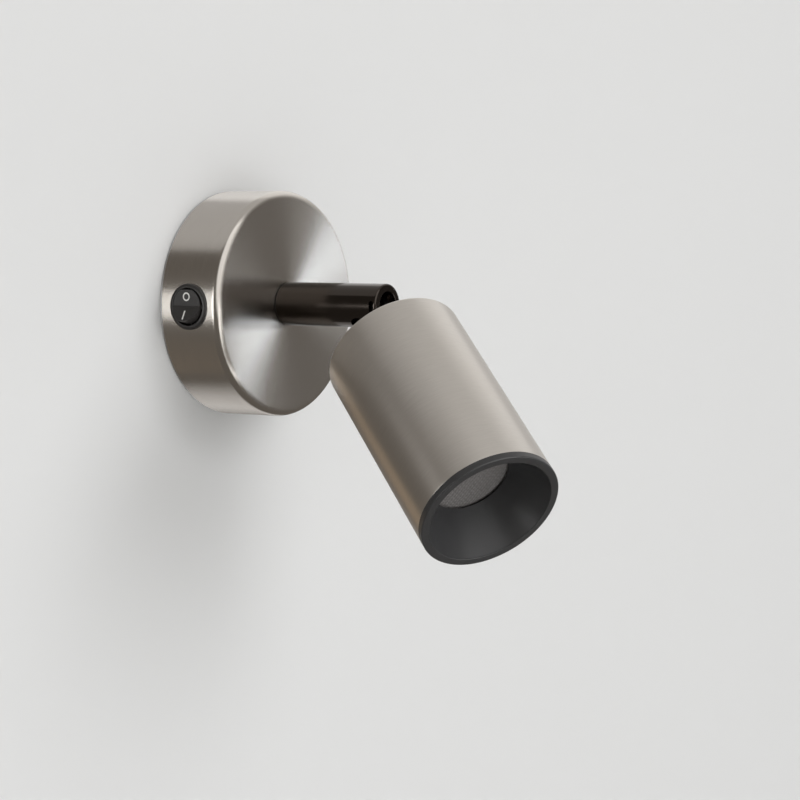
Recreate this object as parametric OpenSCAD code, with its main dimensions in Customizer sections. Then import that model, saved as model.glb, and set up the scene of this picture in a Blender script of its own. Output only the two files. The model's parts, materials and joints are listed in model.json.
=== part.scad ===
// Bedside wall reading lamp: a round canopy with a rocker switch, a swivelling
// arm and a tilting cylinder head that holds a two-pin twist-lock lamp.
// The wall is the plane y = 0, the lamp stands out towards -Y and +Z is up.
// "Out" means the distance from the wall, or from the pivot on the head.
// The arm is drawn hanging its head straight down, then rolled to arm_roll;
// the head is drawn in line with the arm, then tipped down by head_tilt.

/* [Pose] */
// Roll of the arm about its own axis, from head straight down towards -X
arm_roll = 29; // [0:1:60]
// Tilt of the head, from in line with the arm towards straight down
head_tilt = 45; // [10:1:80]

/* [Canopy] */
// Outer diameter of the canopy
canopy_d = 100; // [90:1:120]
// Distance from the wall to the canopy's face
canopy_depth = 32; // [30:0.5:40]
// Sheet thickness of the canopy
canopy_wall = 1.5; // [1:0.1:2]
// Rounding of the canopy's front edge
canopy_edge_r = 3.5; // [2.5:0.1:6]
// Diameter of the two holes for the canopy's set screws
canopy_screw_hole_d = 4.4; // [4.2:0.1:5]

/* [Mounting plate] */
// Thickness of the mounting plate, which the canopy's rim sits on
plate_t = 1; // [0.8:0.1:2]
// Step from the canopy's edge in to the plate's edge
plate_inset = 0.5; // [0.3:0.1:0.9]
// Distance between the two wall screws
wall_screw_spacing = 60; // [50:1:66]
// Width of the two wall screw slots
wall_slot_w = 4.5; // [4:0.1:6]
// Length of the two wall screw slots from end to end
wall_slot_len = 12; // [8:0.5:14]
// Diameter of the hole for the supply cable
cable_hole_d = 16; // [12:0.5:20]
// Height of the cable hole above the plate's middle
cable_hole_up = 12; // [10:0.5:16]
// Width of the lugs that hold the canopy
lug_w = 12; // [9:0.5:14]
// Thickness of the lugs
lug_t = 2; // [1.5:0.1:3]
// How far the lugs stand out from the wall
lug_out = 14; // [13:0.5:18]
// Distance from the wall to the canopy's set screws
canopy_screw_out = 9; // [7:0.5:10]

/* [Terminal block] */
// Width of the terminal block
block_w = 28; // [27:0.5:30]
// Depth of the terminal block, out from the plate
block_t = 12; // [10:0.5:13]
// Height of the terminal block
block_h = 17; // [15:0.5:20]
// Distance from the plate's middle down to the block's top
block_down = 22; // [20:0.5:24]
// Distance between its poles
pole_pitch = 9; // [8.5:0.5:9]

/* [Switch] */
// Diameter of the switch's flange
bezel_d = 20; // [19.6:0.1:23]
// How far the flange stands proud of the canopy
bezel_proud = 1.2; // [0.8:0.1:2]
// Diameter of the switch's body, behind the flange
switch_body_d = 18.4; // [18.2:0.1:18.8]
// Depth of the switch's body
switch_body_len = 17; // [13:0.5:18]
// Distance from the wall to the switch's middle
switch_out = 16.3; // [14:0.1:17]
// Diameter of the rocker
rocker_d = 14.6; // [13:0.1:14.8]
// Angle that the rocker turns through between off and on
rocker_throw = 27; // [20:1:28]

/* [Arm] */
// Outer diameter of the arm
arm_d = 19.2; // [18.8:0.1:22]
// Length of the arm in front of the canopy
arm_len = 54; // [50:1:80]
// Wall of the arm's tube
arm_wall = 1.6; // [1.5:0.05:1.8]
// Bore of the lip at the arm's open end
lip_bore_d = 12.5; // [12:0.1:13.5]
// Length of the lip
lip_len = 4; // [3.9:0.1:6]
// Rounding of the arm's end
arm_edge_r = 1; // [0.6:0.1:1.2]
// Distance from the arm's end back to the pivot
pivot_back = 11; // [10.8:0.1:14]

/* [Swivel] */
// Diameter of the threaded stem
stem_d = 10; // [9:0.1:10.4]
// Bore of the stem
stem_bore_d = 7; // [6:0.1:7.5]
// Length of the stem behind the canopy's face
stem_tail_len = 14.5; // [14.2:0.1:15.5]
// Width of the nuts on the stem across their flats
stem_nut_af = 14; // [13.5:0.5:15]
// Thickness of the nut
stem_nut_t = 3.8; // [3:0.1:4]
// Thickness of the lock nut
lock_nut_t = 3; // [2.5:0.1:3]
// Thickness of the stop washer
stop_washer_t = 1.4; // [1:0.1:1.5]
// Distance from the arm's axis to the stop peg
stop_peg_at = 12; // [12:0.1:13]
// Diameter of the stop peg
stop_peg_d = 2; // [1.6:0.1:2]
// Width of the stop washer's tab
stop_tab_w = 2; // [1.6:0.1:2]

/* [Head joint] */
// Distance from the pivot to the head's back
neck_len = 30.2; // [26:0.1:40]
// Diameter of the knuckle's neck
neck_d = 7.6; // [7:0.1:7.8]
// Bore of the neck, for the leads
neck_bore_d = 4.6; // [4.4:0.1:4.8]
// Gap between the knuckle's barrel and the arm's bore, in front of and behind it
barrel_gap = 1.5; // [1.5:0.1:2]
// Width of the knuckle's barrel
barrel_w = 8; // [7.8:0.1:8.2]
// Diameter of the pivot screws' shanks
pivot_d = 3; // [2.5:0.1:3]
// Width of the arm's slot
slot_w = 9; // [8.6:0.1:9]
// Width of the round-ended lock windows at the arm's end
window_w = 2.4; // [2:0.1:2.4]
// Length of the lock windows round the arm
window_len = 5; // [4.6:0.1:5.4]
// Angle from the slot's middle to the middle of a lock window
window_angle = 60; // [57:1:64]

/* [Head] */
// Outer diameter of the head
head_d = 60.5; // [58:0.5:70]
// Length of the head's tube
head_len = 95.6; // [95:0.1:110]
// Wall of the head's tube
head_wall = 1.2; // [1:0.1:2]
// Rounding of the head's back edge
head_edge_r = 1.5; // [1.3:0.1:4]

/* [Baffle] */
// Width of the baffle's band, in front of the head's tube
band_w = 3; // [2:0.1:5]
// Width of the baffle's front face, from the head's side in to the mouth
band_face_w = 3.45; // [2.8:0.05:4.5]
// How far the baffle's cone closes in from its mouth to its throat
cone_step = 9.95; // [5:0.05:11.5]
// Depth of the baffle from mouth to throat
baffle_depth = 19.5; // [16:0.5:20]
// Wall of the baffle's cone
baffle_wall = 1.6; // [1.2:0.1:2]
// Length of the baffle's skirt inside the tube
skirt_len = 14; // [10:0.5:15]

/* [Lamp] */
// Gap between the lamp and the head's tube
lamp_gap = 4.05; // [3.5:0.05:5]
// Width of the lamp's rim, round its lens
lamp_rim_w = 2; // [1.8:0.1:5]
// Thickness of the lens
lens_t = 1.5; // [1:0.1:2]
// Diameter of the lamp's base
lamp_base_d = 22; // [20:0.5:24]
// Distance between the lamp's two pins
pin_pitch = 10; // [9:0.1:10]
// Angle that the lamp turns through to unlock
lamp_turn = 25; // [20:1:28]

/* [Lampholder] */
// Width of the lampholder across its two fixing screws
holder_w = 34; // [34:0.5:38]
// Width of the lampholder the other way
holder_h = 18; // [17:0.5:20]
// Depth of the lampholder
holder_t = 16; // [14:0.5:16]
// Distance between the lampholder's fixing screws
holder_screw_spacing = 27; // [26.5:0.1:28]
// Distance from the head's back to the lampholder's back
holder_back = 15.8; // [14.5:0.1:15.8]

/* [Leads] */
// Outer diameter of one lead
lead_d = 1.8; // [1.6:0.1:1.9]
// Distance between the two leads where they run side by side
lead_pitch = 2.3; // [2.1:0.1:2.4]

/* [Hidden] */
$fn = 96;

// Finishes
nickel = [0.68, 0.66, 0.63];
black_nickel = [0.17, 0.15, 0.14];
zinc = [0.62, 0.63, 0.64];
brass = [0.80, 0.66, 0.34];
black = [0.17, 0.17, 0.17];
charcoal = [0.23, 0.22, 0.21];
white = [0.93, 0.93, 0.91];
ceramic = [0.92, 0.90, 0.85];
frosted = [0.50, 0.48, 0.46];
nylon = [0.12, 0.12, 0.12];
live_brown = [0.40, 0.24, 0.14];
lead_blue = [0.20, 0.36, 0.62];
earth_green = [0.30, 0.52, 0.22];

// Overrun of every cut past the face that it leaves
over = 1;
// Radial clearance of a running fit, and axial clearance of a turning face
fit = 0.05;
// Clearance round pieces that pass each other with room to spare
room = 0.3;

// Canopy and plate
canopy_r = canopy_d / 2;
canopy_in_r = canopy_r - canopy_wall;
canopy_inner_out = canopy_depth - canopy_wall;
plate_r = canopy_r - plate_inset;
set_screw_d = 4;
set_screw_len = 7;
set_screw_socket_af = 2;
set_screw_socket_deep = 2;
set_screw_sunk = 0.2;
lug_gap = 0.25;
lug_top = sqrt(pow(canopy_in_r, 2) - pow(lug_w / 2, 2)) - lug_gap;
earth_at_x = 26;
earth_at_z = -16;
earth_screw_d = 4;
earth_screw_len = 5;
earth_head_d = 8;
earth_head_t = 2.4;
earth_washer_d = 10;
earth_washer_t = 1;
earth_slot_w = 1.2;
earth_slot_deep = 1.2;
tag_d = 8.5;
tag_t = 0.8;
tag_w = 3;
tag_reach = 7.5;
tag_barrel_d = 2.8;
tag_barrel_len = 5;
tag_barrel_out = plate_t + tag_barrel_d / 2;

// Terminal block
sleeve_d = 4.6;
sleeve_bore_d = 3;
sleeve_inset = 1;
sleeve_out = plate_t + block_t * 7 / 12;
clamp_screw_d = 3;
clamp_screw_well_d = 4;
clamp_screw_slot_w = 0.6;
clamp_screw_slot_deep = 0.8;
clamp_screw_sunk = 1.2;
clamp_screw_spacing = 8;
block_screw_d = 2.5;
block_screw_head_d = 4.2;
block_screw_head_t = 1.6;
block_screw_x = pole_pitch / 2;

// Switch, measured out from the canopy's side
bezel_r = bezel_d / 2;
bezel_edge_r = 0.5;
bezel_sink = canopy_r - sqrt(pow(canopy_r, 2) - pow(bezel_r, 2)) + over;
switch_hole_d = switch_body_d + 2 * fit;
rocker_r = rocker_d / 2;
rocker_face_angle = rocker_throw / 2;
rocker_gap = 0.8;
rocker_valley = 2;
rocker_foot = 3;
rocker_end_r = rocker_r + 0.4 * rocker_gap;
well_r = rocker_r + rocker_gap;
well_deep = 5;
rocker_rise = 1;
rocker_pivot = bezel_proud + rocker_rise - rocker_valley * cos(rocker_face_angle);
trunnion_d = 2.4;
trunnion_len = switch_body_d - 2 * room;
snap_t = 1;
snap_len = 3;
snap_w = 5;
tab_w = 4.8;
tab_t = 0.8;
tab_len = 7;
tab_pitch = 7;
mark_t = 0.3;
ring_mark_d = 3.8;
ring_mark_stroke = 0.65;
ring_mark_at = 3.9;
bar_mark_len = 4.1;
bar_mark_w = 0.75;
bar_mark_at = 4.4;
tab_root = 3;

// Leads
lead_bend_r = 1.8;
lead_rise = 10;
switch_lead_x = -pole_pitch - lead_rise;
grommet_t = 1.2;
tab_lap = 2.5;
tab_end_x = -canopy_r + switch_body_len + tab_len;
tab_lead_z = (tab_pitch + tab_t + lead_d) / 2;

// Arm and swivel
arm_r = arm_d / 2;
arm_bore_d = arm_d - 2 * arm_wall;
bush_flange_inset = 0.3;
bush_flange_d = arm_d - 2 * bush_flange_inset;
bush_flange_t = 0.4;
bush_d = 13;
arm_base_out = canopy_depth + bush_flange_t + fit;
arm_end_out = canopy_depth + arm_len;
pivot_out = arm_end_out - pivot_back;
lip_out = arm_end_out - lip_len;
plug_len = 8.5;
stem_tail_out = canopy_depth - stem_tail_len;
disc_spring_d = 17;
disc_spring_t = 0.5;
disc_spring_h = 1.2;
stop_peg_tenon = 0.6;
stop_washer_d = 20;
stop_washer_front = canopy_inner_out - disc_spring_h - fit;
stop_washer_back = stop_washer_front - stop_washer_t;
stop_peg_len = disc_spring_h + stop_washer_t + 2 * room;
stem_nut_back = stop_washer_back - stem_nut_t;
nut_gap = 0.1;
lock_nut_back = stem_nut_back - nut_gap - lock_nut_t;
grommet_d = 13;
grommet_neck_len = 3;
grommet_bore_d = 5.2;
lead_meet_out = stem_tail_out - grommet_t - room;

// Head joint
barrel_d = arm_bore_d - 2 * barrel_gap;
barrel_r = barrel_d / 2;
cavity_w = 4.5;
washer_t = 0.5;
washer_inset = 2;
washer_d = barrel_d - 2 * washer_inset;
cheek_in = barrel_w / 2 + fit + washer_t;
pivot_head_d = 5;
pivot_head_gap = 0.2;
pivot_head_share = 0.49;
pivot_head_to = sqrt(pow(arm_bore_d / 2, 2) - pow(pivot_head_d / 2, 2)) - pivot_head_gap;
pivot_head_t = pivot_head_share * (pivot_head_to - cheek_in);
pivot_head_in = pivot_head_to - pivot_head_t;
pivot_slot_w = 0.8;
pivot_slot_deep = 0.6;
yoke_len = 22;
yoke_wire_hole_d = 5;
finger_t = 1.2;
finger_len = window_w + 2 * room;
window_land = 0.1;
window_out = arm_end_out - arm_edge_r - window_land - window_w / 2;
window_half = (window_len - window_w) / 2;
lug_rise = 1.5;
collar_d = 16;
collar_t = 3.2;
collar_edge_r = 0.5;
nipple_d = 10;
nipple_len = 10;
nipple_hole_gap = 0.15;
head_washer_d = 17;
head_washer_t = 1;
head_nut_af = 14;
head_nut_t = 4;
hex_share = 2 / sqrt(3);

// Head, measured out from the pivot
head_r = head_d / 2;
head_in_r = head_r - head_wall;
head_back = neck_len;
head_floor = head_back + head_wall;
head_front = head_back + head_len;
bracket_t = 1;
head_nut_from = head_floor + bracket_t + head_washer_t;
mouth_out = head_front + band_w;
throat_out = mouth_out - baffle_depth;
mouth_d = head_d - 2 * band_face_w;
throat_d = mouth_d - 2 * cone_step;

// Lampholder and bracket
bracket_w = 14;
bracket_foot_w = holder_w + 2;
bracket_tab_in = 11;
holder_out = head_back + holder_back;
holder_front = holder_out + holder_t;
holder_corner_r = 4;
holder_screw_d = 3;
holder_screw_head_d = 5.5;
holder_screw_head_t = 1.8;
holder_screw_well_t = 5;
holder_screw_tail = 3;
holder_screw_slot_w = 0.8;
holder_screw_slot_deep = 0.9;
pin_shank_d = 3;
pin_head_d = 5;
pin_shank_len = 4.6;
pin_head_len = 2.7;
pin_gap = 0.3;
track_ease = 1;
contact_w = 4;
contact_t = 0.4;
contact_off = 1.2;
contact_at = pin_pitch / 2 + contact_off;
contact_end = holder_front - pin_shank_len;
lamp_seat_gap = 0.2;

// Lamp
lamp_d = head_d - 2 * (head_wall + lamp_gap);
lens_d = lamp_d - 2 * lamp_rim_w;
lens_gap = 1;
lamp_front = throat_out - lens_gap;
lamp_base_len = 11;
lamp_neck_d = 30;
lamp_neck_len = 4;
lamp_rim_len = 9;
lamp_edge_r = 0.8;
fin_count = 24;
fin_groove_w = 1.6;
fin_groove_deep = 1.2;
fin_len_share = 0.62;

// Baffle
skirt_gap = 0.3;
band_edge_r = 0.5;
band_rim_w = 0.6;
spring_count = 3;
spring_w = 5;
spring_t = 0.3;
spring_len = 9;
spring_leg_len = 3;
spring_slack = 0.03;
skirt_r = head_in_r - skirt_gap;
skirt_in_r = skirt_r - baffle_wall;
spring_seat_r = skirt_r - 0.45 * baffle_wall;

// A shape drawn up its own Z axis, turned to point out from the wall
module outward(out = 0) {
    translate([0, -out, 0]) rotate([90, 0, 0]) children();
}

// A round bar along the out direction
module rod(from, to, d) {
    outward(from) cylinder(d = d, h = to - from);
}

// A ring along the out direction
module sleeve(from, to, d, bore) {
    difference() {
        rod(from, to, d);
        rod(from - over, to + over, bore);
    }
}

// A round bar across the head joint, centred on its plane of tilt
module cross_bar(d, len) {
    rotate([0, 90, 0]) cylinder(d = d, h = len, center = true);
}

// A block from one corner to the other, in x, out and z
module block(low, high) {
    translate([low[0], -high[1], low[2]])
        cube([high[0] - low[0], high[1] - low[1], high[2] - low[2]]);
}

// A hexagon nut along the out direction
module hex_nut(from, to, af, bore) {
    difference() {
        outward(from) cylinder(d = af * hex_share, h = to - from, $fn = 6);
        rod(from - over, to + over, bore);
    }
}

// Half of the outline of a disc with a rounded front corner
module rounded_profile(r, from, to, edge) {
    translate([0, from]) square([r - edge, to - from]);
    translate([0, from]) square([r, to - from - edge]);
    translate([r - edge, to - edge]) circle(r = edge);
}

// A lead through a list of points: straight runs joined by round bends
function unit(v) = v / norm(v);

module lead(path, d) {
    last = len(path) - 1;
    turn = [for (i = [0 : last]) i == 0 || i == last ? 0
        : acos(unit(path[i] - path[i - 1]) * unit(path[i + 1] - path[i]))];
    for (i = [0 : last - 1]) {
        run = path[i + 1] - path[i];
        dir = unit(run);
        cut_off = [lead_bend_r * tan(turn[i] / 2), lead_bend_r * tan(turn[i + 1] / 2)];
        translate(path[i] + cut_off[0] * dir) rotate([0, acos(dir[2]), atan2(dir[1], dir[0])])
            cylinder(d = d, h = norm(run) - cut_off[0] - cut_off[1]);
    }
    for (i = [1 : last - 1]) {
        ahead = unit(path[i] - path[i - 1]);
        next = unit(path[i + 1] - path[i]);
        inward = unit(next - (next * ahead) * ahead);
        centre = path[i] - lead_bend_r * tan(turn[i] / 2) * ahead + lead_bend_r * inward;
        side = cross(-inward, ahead);
        multmatrix([for (k = [0 : 2]) [-inward[k], ahead[k], side[k], centre[k]]])
            rotate_extrude(angle = turn[i]) translate([lead_bend_r, 0]) circle(d = d);
    }
}

// Places of the moving groups
module arm_place() {
    rotate([0, arm_roll, 0]) children();
}

module head_place() {
    arm_place() outward_shift(pivot_out) rotate([head_tilt, 0, 0]) children();
}

module outward_shift(out) {
    translate([0, -out, 0]) children();
}

// The switch's own frame: +Z out of the canopy's side, +X up
module switch_place() {
    translate([-canopy_r, -switch_out, 0]) rotate([0, -90, 0]) children();
}

module rocker_place() {
    switch_place() translate([0, 0, rocker_pivot]) rotate([0, rocker_face_angle, 0]) children();
}

module mounting_plate() {
    color(zinc) difference() {
        union() {
            rod(0, plate_t, 2 * plate_r);
            for (side = [-1, 1]) scale([1, 1, side])
                block([-lug_w / 2, 0, lug_top - lug_t], [lug_w / 2, lug_out, lug_top]);
        }
        // wall screw slots
        for (side = [-1, 1]) translate([side * wall_screw_spacing / 2, 0, 0]) {
            for (end = [-1, 1]) translate([end * (wall_slot_len - wall_slot_w) / 2, 0, 0])
                rod(-over, plate_t + over, wall_slot_w);
            block([-(wall_slot_len - wall_slot_w) / 2, -over, -wall_slot_w / 2],
                  [(wall_slot_len - wall_slot_w) / 2, plate_t + over, wall_slot_w / 2]);
        }
        // supply cable
        translate([0, 0, cable_hole_up]) rod(-over, plate_t + over, cable_hole_d);
        // set screws, earth screw and the terminal block's screw
        translate([0, -canopy_screw_out, 0]) cylinder(d = set_screw_d, h = canopy_d, center = true);
        translate([earth_at_x, 0, earth_at_z]) rod(-over, plate_t + over, earth_screw_d);
        block_screw_place() rod(-over, plate_t + over, block_screw_d);
    }
}

module earth_screw() {
    washer_from = plate_t + tag_t;
    head_from = washer_from + earth_washer_t;
    head_to = head_from + earth_head_t;
    color(brass) translate([earth_at_x, 0, earth_at_z]) difference() {
        union() {
            rod(0, head_from, earth_screw_d);
            rod(washer_from, head_from, earth_washer_d);
            rod(head_from, head_to, earth_head_d);
        }
        block([-earth_head_d, head_to - earth_slot_deep, -earth_slot_w / 2],
              [earth_head_d, head_to + over, earth_slot_w / 2]);
    }
}

// Terminal block
module pole_place() {
    for (i = [-1 : 1]) translate([i * pole_pitch, -sleeve_out, -block_down - block_h / 2]) children();
}

module clamp_place() {
    pole_place() for (end = [-1, 1]) translate([0, 0, end * clamp_screw_spacing / 2]) children();
}

module block_screw_place() {
    translate([block_screw_x, 0, -block_down - block_h / 2]) children();
}

module terminal_block() {
    color(white) difference() {
        block([-block_w / 2, plate_t, -block_down - block_h], [block_w / 2, plate_t + block_t, -block_down]);
        pole_place() cylinder(d = sleeve_d, h = block_h + over, center = true);
        clamp_place() rod(0, block_t, clamp_screw_well_d);
        block_screw_place() {
            rod(plate_t - over, plate_t + block_t + over, block_screw_d);
            rod(plate_t + block_t - block_screw_head_t, plate_t + block_t + over, block_screw_head_d);
        }
    }
}

module terminal_sleeves() {
    color(brass) difference() {
        pole_place() cylinder(d = sleeve_d, h = block_h - 2 * sleeve_inset, center = true);
        pole_place() cylinder(d = sleeve_bore_d, h = block_h + over, center = true);
        clamp_place() rod(0, block_t, clamp_screw_d);
    }
}

module terminal_screws() {
    top = plate_t + block_t - sleeve_out - clamp_screw_sunk;
    color(zinc) clamp_place() difference() {
        rod(lead_d / 2, top, clamp_screw_d);
        block([-clamp_screw_d, top - clamp_screw_slot_deep, -clamp_screw_slot_w / 2],
              [clamp_screw_d, top + over, clamp_screw_slot_w / 2]);
    }
}

module block_screw() {
    top = plate_t + block_t;
    color(zinc) block_screw_place() difference() {
        union() {
            rod(0, top, block_screw_d);
            rod(top - block_screw_head_t, top, block_screw_head_d);
        }
        block([-clamp_screw_slot_w / 2, top - clamp_screw_slot_deep, -block_screw_head_d],
              [clamp_screw_slot_w / 2, top + over, block_screw_head_d]);
    }
}

// Canopy and what is fixed in it
module canopy() {
    color(nickel) difference() {
        outward() rotate_extrude() difference() {
            rounded_profile(canopy_r, plate_t, canopy_depth, canopy_edge_r);
            rounded_profile(canopy_in_r, 0, canopy_inner_out, canopy_edge_r - canopy_wall);
        }
        rod(0, canopy_depth + over, bush_d);
        translate([-canopy_r, -switch_out, 0]) cross_bar(switch_hole_d, canopy_r);
        translate([0, -canopy_screw_out, 0]) cylinder(d = canopy_screw_hole_d, h = canopy_d + over, center = true);
        outward(canopy_inner_out) translate([0, stop_peg_at, -over]) cylinder(d = stop_peg_d, h = over + stop_peg_tenon);
    }
}

module canopy_screws() {
    top = canopy_r - set_screw_sunk;
    color(zinc) for (side = [-1, 1]) scale([1, 1, side]) translate([0, -canopy_screw_out, 0]) difference() {
        translate([0, 0, top - set_screw_len]) cylinder(d = set_screw_d, h = set_screw_len);
        translate([0, 0, top - set_screw_socket_deep])
            cylinder(d = set_screw_socket_af * hex_share, h = set_screw_socket_deep + over, $fn = 6);
    }
}

module stop_peg() {
    color(zinc) translate([0, 0, stop_peg_at])
        rod(canopy_inner_out - stop_peg_len, canopy_inner_out + stop_peg_tenon, stop_peg_d);
}

module arm_bush() {
    color(nylon) difference() {
        union() {
            rod(canopy_inner_out, canopy_depth, bush_d);
            rod(canopy_depth, canopy_depth + bush_flange_t, bush_flange_d);
        }
        rod(0, canopy_depth + over, stem_d + 2 * fit);
    }
}

// A coned spring washer: its rim on the canopy, its bore towards the stop washer
module disc_spring() {
    inner = stem_d / 2 + fit;
    outer = disc_spring_d / 2;
    color(zinc) outward(canopy_inner_out - disc_spring_h) rotate_extrude() polygon([
        [inner, 0], [outer, disc_spring_h - disc_spring_t],
        [outer, disc_spring_h], [inner, disc_spring_t]]);
}

// Switch
module switch_housing() {
    color(charcoal) difference() {
        union() {
            difference() {
                switch_place() translate([0, 0, -bezel_sink]) rotate_extrude()
                    rounded_profile(bezel_r, 0, bezel_sink + bezel_proud, bezel_edge_r);
                rod(-over, canopy_depth + over, canopy_d);
            }
            switch_place() translate([0, 0, -switch_body_len]) cylinder(d = switch_body_d, h = switch_body_len);
            // snap noses behind the canopy's wall
            switch_place() for (side = [-1, 1]) scale([1, side, 1])
                translate([-snap_w / 2, switch_body_d / 2 - snap_t, -canopy_wall - room - snap_len])
                    cube([snap_w, 2 * snap_t, snap_len]);
        }
        switch_place() translate([0, 0, rocker_pivot]) {
            translate([0, 0, -well_deep]) cylinder(r = well_r, h = well_deep + bezel_r);
            rotate([90, 0, 0]) cylinder(d = trunnion_d + 2 * fit, h = trunnion_len + 2 * fit, center = true);
        }
        switch_place() for (side = [-1, 1]) translate([side * tab_pitch / 2, 0, -switch_body_len - over])
            tab_solid(over + tab_root);
    }
}

module tab_solid(len) {
    translate([-tab_t / 2, -tab_w / 2, 0]) cube([tab_t, tab_w, len]);
}

module switch_tabs() {
    color(brass) switch_place() for (side = [-1, 1])
        translate([side * tab_pitch / 2, 0, -switch_body_len - tab_len]) tab_solid(tab_len + tab_root);
}

// The rocker: two flat faces that meet in a shallow valley over its pivot
module switch_rocker() {
    face_rise = rocker_valley + rocker_r * tan(rocker_face_angle);
    color(charcoal) rocker_place() difference() {
        union() {
            intersection() {
                translate([0, 0, -rocker_foot]) cylinder(d = rocker_d, h = rocker_foot + face_rise);
                rotate([90, 0, 0]) cylinder(r = rocker_end_r, h = rocker_d, center = true);
                rotate([90, 0, 0]) linear_extrude(height = rocker_d, center = true) polygon([
                    [0, rocker_valley], [rocker_r, face_rise], [rocker_r, -rocker_foot],
                    [-rocker_r, -rocker_foot], [-rocker_r, face_rise]]);
            }
            rotate([90, 0, 0]) cylinder(d = trunnion_d, h = trunnion_len, center = true);
        }
        mark_shapes(over);
    }
}

// The off ring above and the on bar below, let into the rocker's faces
module rocker_marks() {
    color(white) rocker_place() mark_shapes(0);
}

module mark_shapes(proud) {
    translate([0, 0, rocker_valley]) {
        rotate([0, -rocker_face_angle, 0]) translate([ring_mark_at, 0, -mark_t]) difference() {
            cylinder(d = ring_mark_d, h = mark_t + proud);
            translate([0, 0, -over]) cylinder(d = ring_mark_d - 2 * ring_mark_stroke, h = mark_t + proud + 2 * over);
        }
        rotate([0, rocker_face_angle, 0]) translate([-bar_mark_at - bar_mark_len / 2, -bar_mark_w / 2, -mark_t])
            cube([bar_mark_len, bar_mark_w, mark_t + proud]);
    }
}

// Leads inside the canopy. The house's wires come in at the block's lower side.
function at(x, out, z) = [x, -out, z];

module neutral_lead() {
    color(lead_blue) lead([
        at(pole_pitch, sleeve_out, -block_down - block_h / 2), at(pole_pitch, sleeve_out, -block_down + lead_rise),
        at(lead_pitch / 2, sleeve_out, -block_down + lead_rise), at(lead_pitch / 2, sleeve_out, 0),
        at(lead_pitch / 2, lead_meet_out, 0)], lead_d);
}

// From the live pole to the lower tab, and from the upper tab to the arm
module switch_leads() {
    color(live_brown) {
        lead([
            at(-pole_pitch, sleeve_out, -block_down - block_h / 2), at(-pole_pitch, sleeve_out, -block_down + lead_rise),
            at(-pole_pitch, switch_out, -block_down + lead_rise), at(switch_lead_x, switch_out, -block_down + lead_rise),
            at(switch_lead_x, switch_out, -tab_lead_z), at(tab_end_x - tab_lap, switch_out, -tab_lead_z)], lead_d);
        lead([
            at(tab_end_x - tab_lap, switch_out, tab_lead_z), at(switch_lead_x, switch_out, tab_lead_z),
            at(switch_lead_x, sleeve_out, tab_lead_z), at(-lead_pitch / 2, sleeve_out, tab_lead_z),
            at(-lead_pitch / 2, sleeve_out, 0), at(-lead_pitch / 2, lead_meet_out, 0)], lead_d);
    }
}

module earth_lead() {
    color(earth_green) lead([
        at(0, sleeve_out, -block_down - block_h / 2), at(0, sleeve_out, earth_at_z), at(0, tag_barrel_out, earth_at_z),
        at(earth_at_x - tag_reach - tag_barrel_len / 2, tag_barrel_out, earth_at_z)], lead_d);
}

// Ring tag under the earth screw, with a crimped barrel
module earth_tag() {
    barrel_x = earth_at_x - tag_reach - tag_barrel_len;
    color(zinc) difference() {
        union() {
            translate([earth_at_x, 0, earth_at_z]) rod(plate_t, plate_t + tag_t, tag_d);
            block([barrel_x + tag_barrel_len / 2, plate_t, earth_at_z - tag_w / 2],
                  [earth_at_x, plate_t + tag_t, earth_at_z + tag_w / 2]);
            translate([barrel_x, -tag_barrel_out, earth_at_z]) rotate([0, 90, 0])
                cylinder(d = tag_barrel_d, h = tag_barrel_len);
        }
        translate([earth_at_x, 0, earth_at_z]) rod(0, plate_t + tag_t + over, earth_screw_d);
        translate([barrel_x - over, -tag_barrel_out, earth_at_z]) rotate([0, 90, 0])
            cylinder(d = lead_d, h = over + tag_barrel_len / 2);
    }
}

// Arm
module arm_tube() {
    color(black_nickel) arm_place() difference() {
        outward() rotate_extrude() difference() {
            rounded_profile(arm_r, arm_base_out, arm_end_out, arm_edge_r);
            square([arm_bore_d / 2, lip_out]);
            square([lip_bore_d / 2, arm_end_out + over]);
            translate([0, arm_base_out - over]) square([arm_bore_d / 2, over]);
        }
        // slot that lets the neck swing down
        outward_shift(pivot_out) translate([0, 0, -arm_d]) cylinder(d = slot_w, h = arm_d);
        block([-slot_w / 2, pivot_out, -arm_d], [slot_w / 2, arm_end_out + over, 0]);
        window_cuts();
    }
}

// Round-ended windows through the lip, one each side of the slot
module window_cuts() {
    for (side = [-1, 1]) rotate([0, side * window_angle, 0]) {
        for (end = [-1, 1]) translate([end * window_half, -window_out, -arm_d]) cylinder(d = window_w, h = arm_d);
        block([-window_half, window_out - window_w / 2, -arm_d], [window_half, window_out + window_w / 2, 0]);
    }
}

module arm_stem() {
    color(zinc) arm_place() difference() {
        union() {
            rod(stem_tail_out, arm_base_out + plug_len, stem_d);
            rod(arm_base_out, arm_base_out + plug_len, arm_bore_d);
        }
        rod(0, arm_end_out, stem_bore_d);
    }
}

module stop_washer() {
    color(zinc) arm_place() difference() {
        union() {
            rod(stop_washer_back, stop_washer_front, stop_washer_d);
            block([-stop_tab_w / 2, stop_washer_back, -stop_peg_at - stop_peg_d], [stop_tab_w / 2, stop_washer_front, 0]);
        }
        rod(0, canopy_depth, stem_d);
    }
}

module stem_nuts() {
    color(brass) arm_place() {
        hex_nut(stem_nut_back, stop_washer_back, stem_nut_af, stem_d);
        hex_nut(lock_nut_back, stem_nut_back - nut_gap, stem_nut_af, stem_d);
    }
}

module stem_grommet() {
    color(nylon) arm_place() difference() {
        union() {
            rod(stem_tail_out - grommet_t, stem_tail_out, grommet_d);
            rod(stem_tail_out, stem_tail_out + grommet_neck_len, stem_bore_d);
        }
        rod(0, canopy_depth, grommet_bore_d);
    }
}

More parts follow.
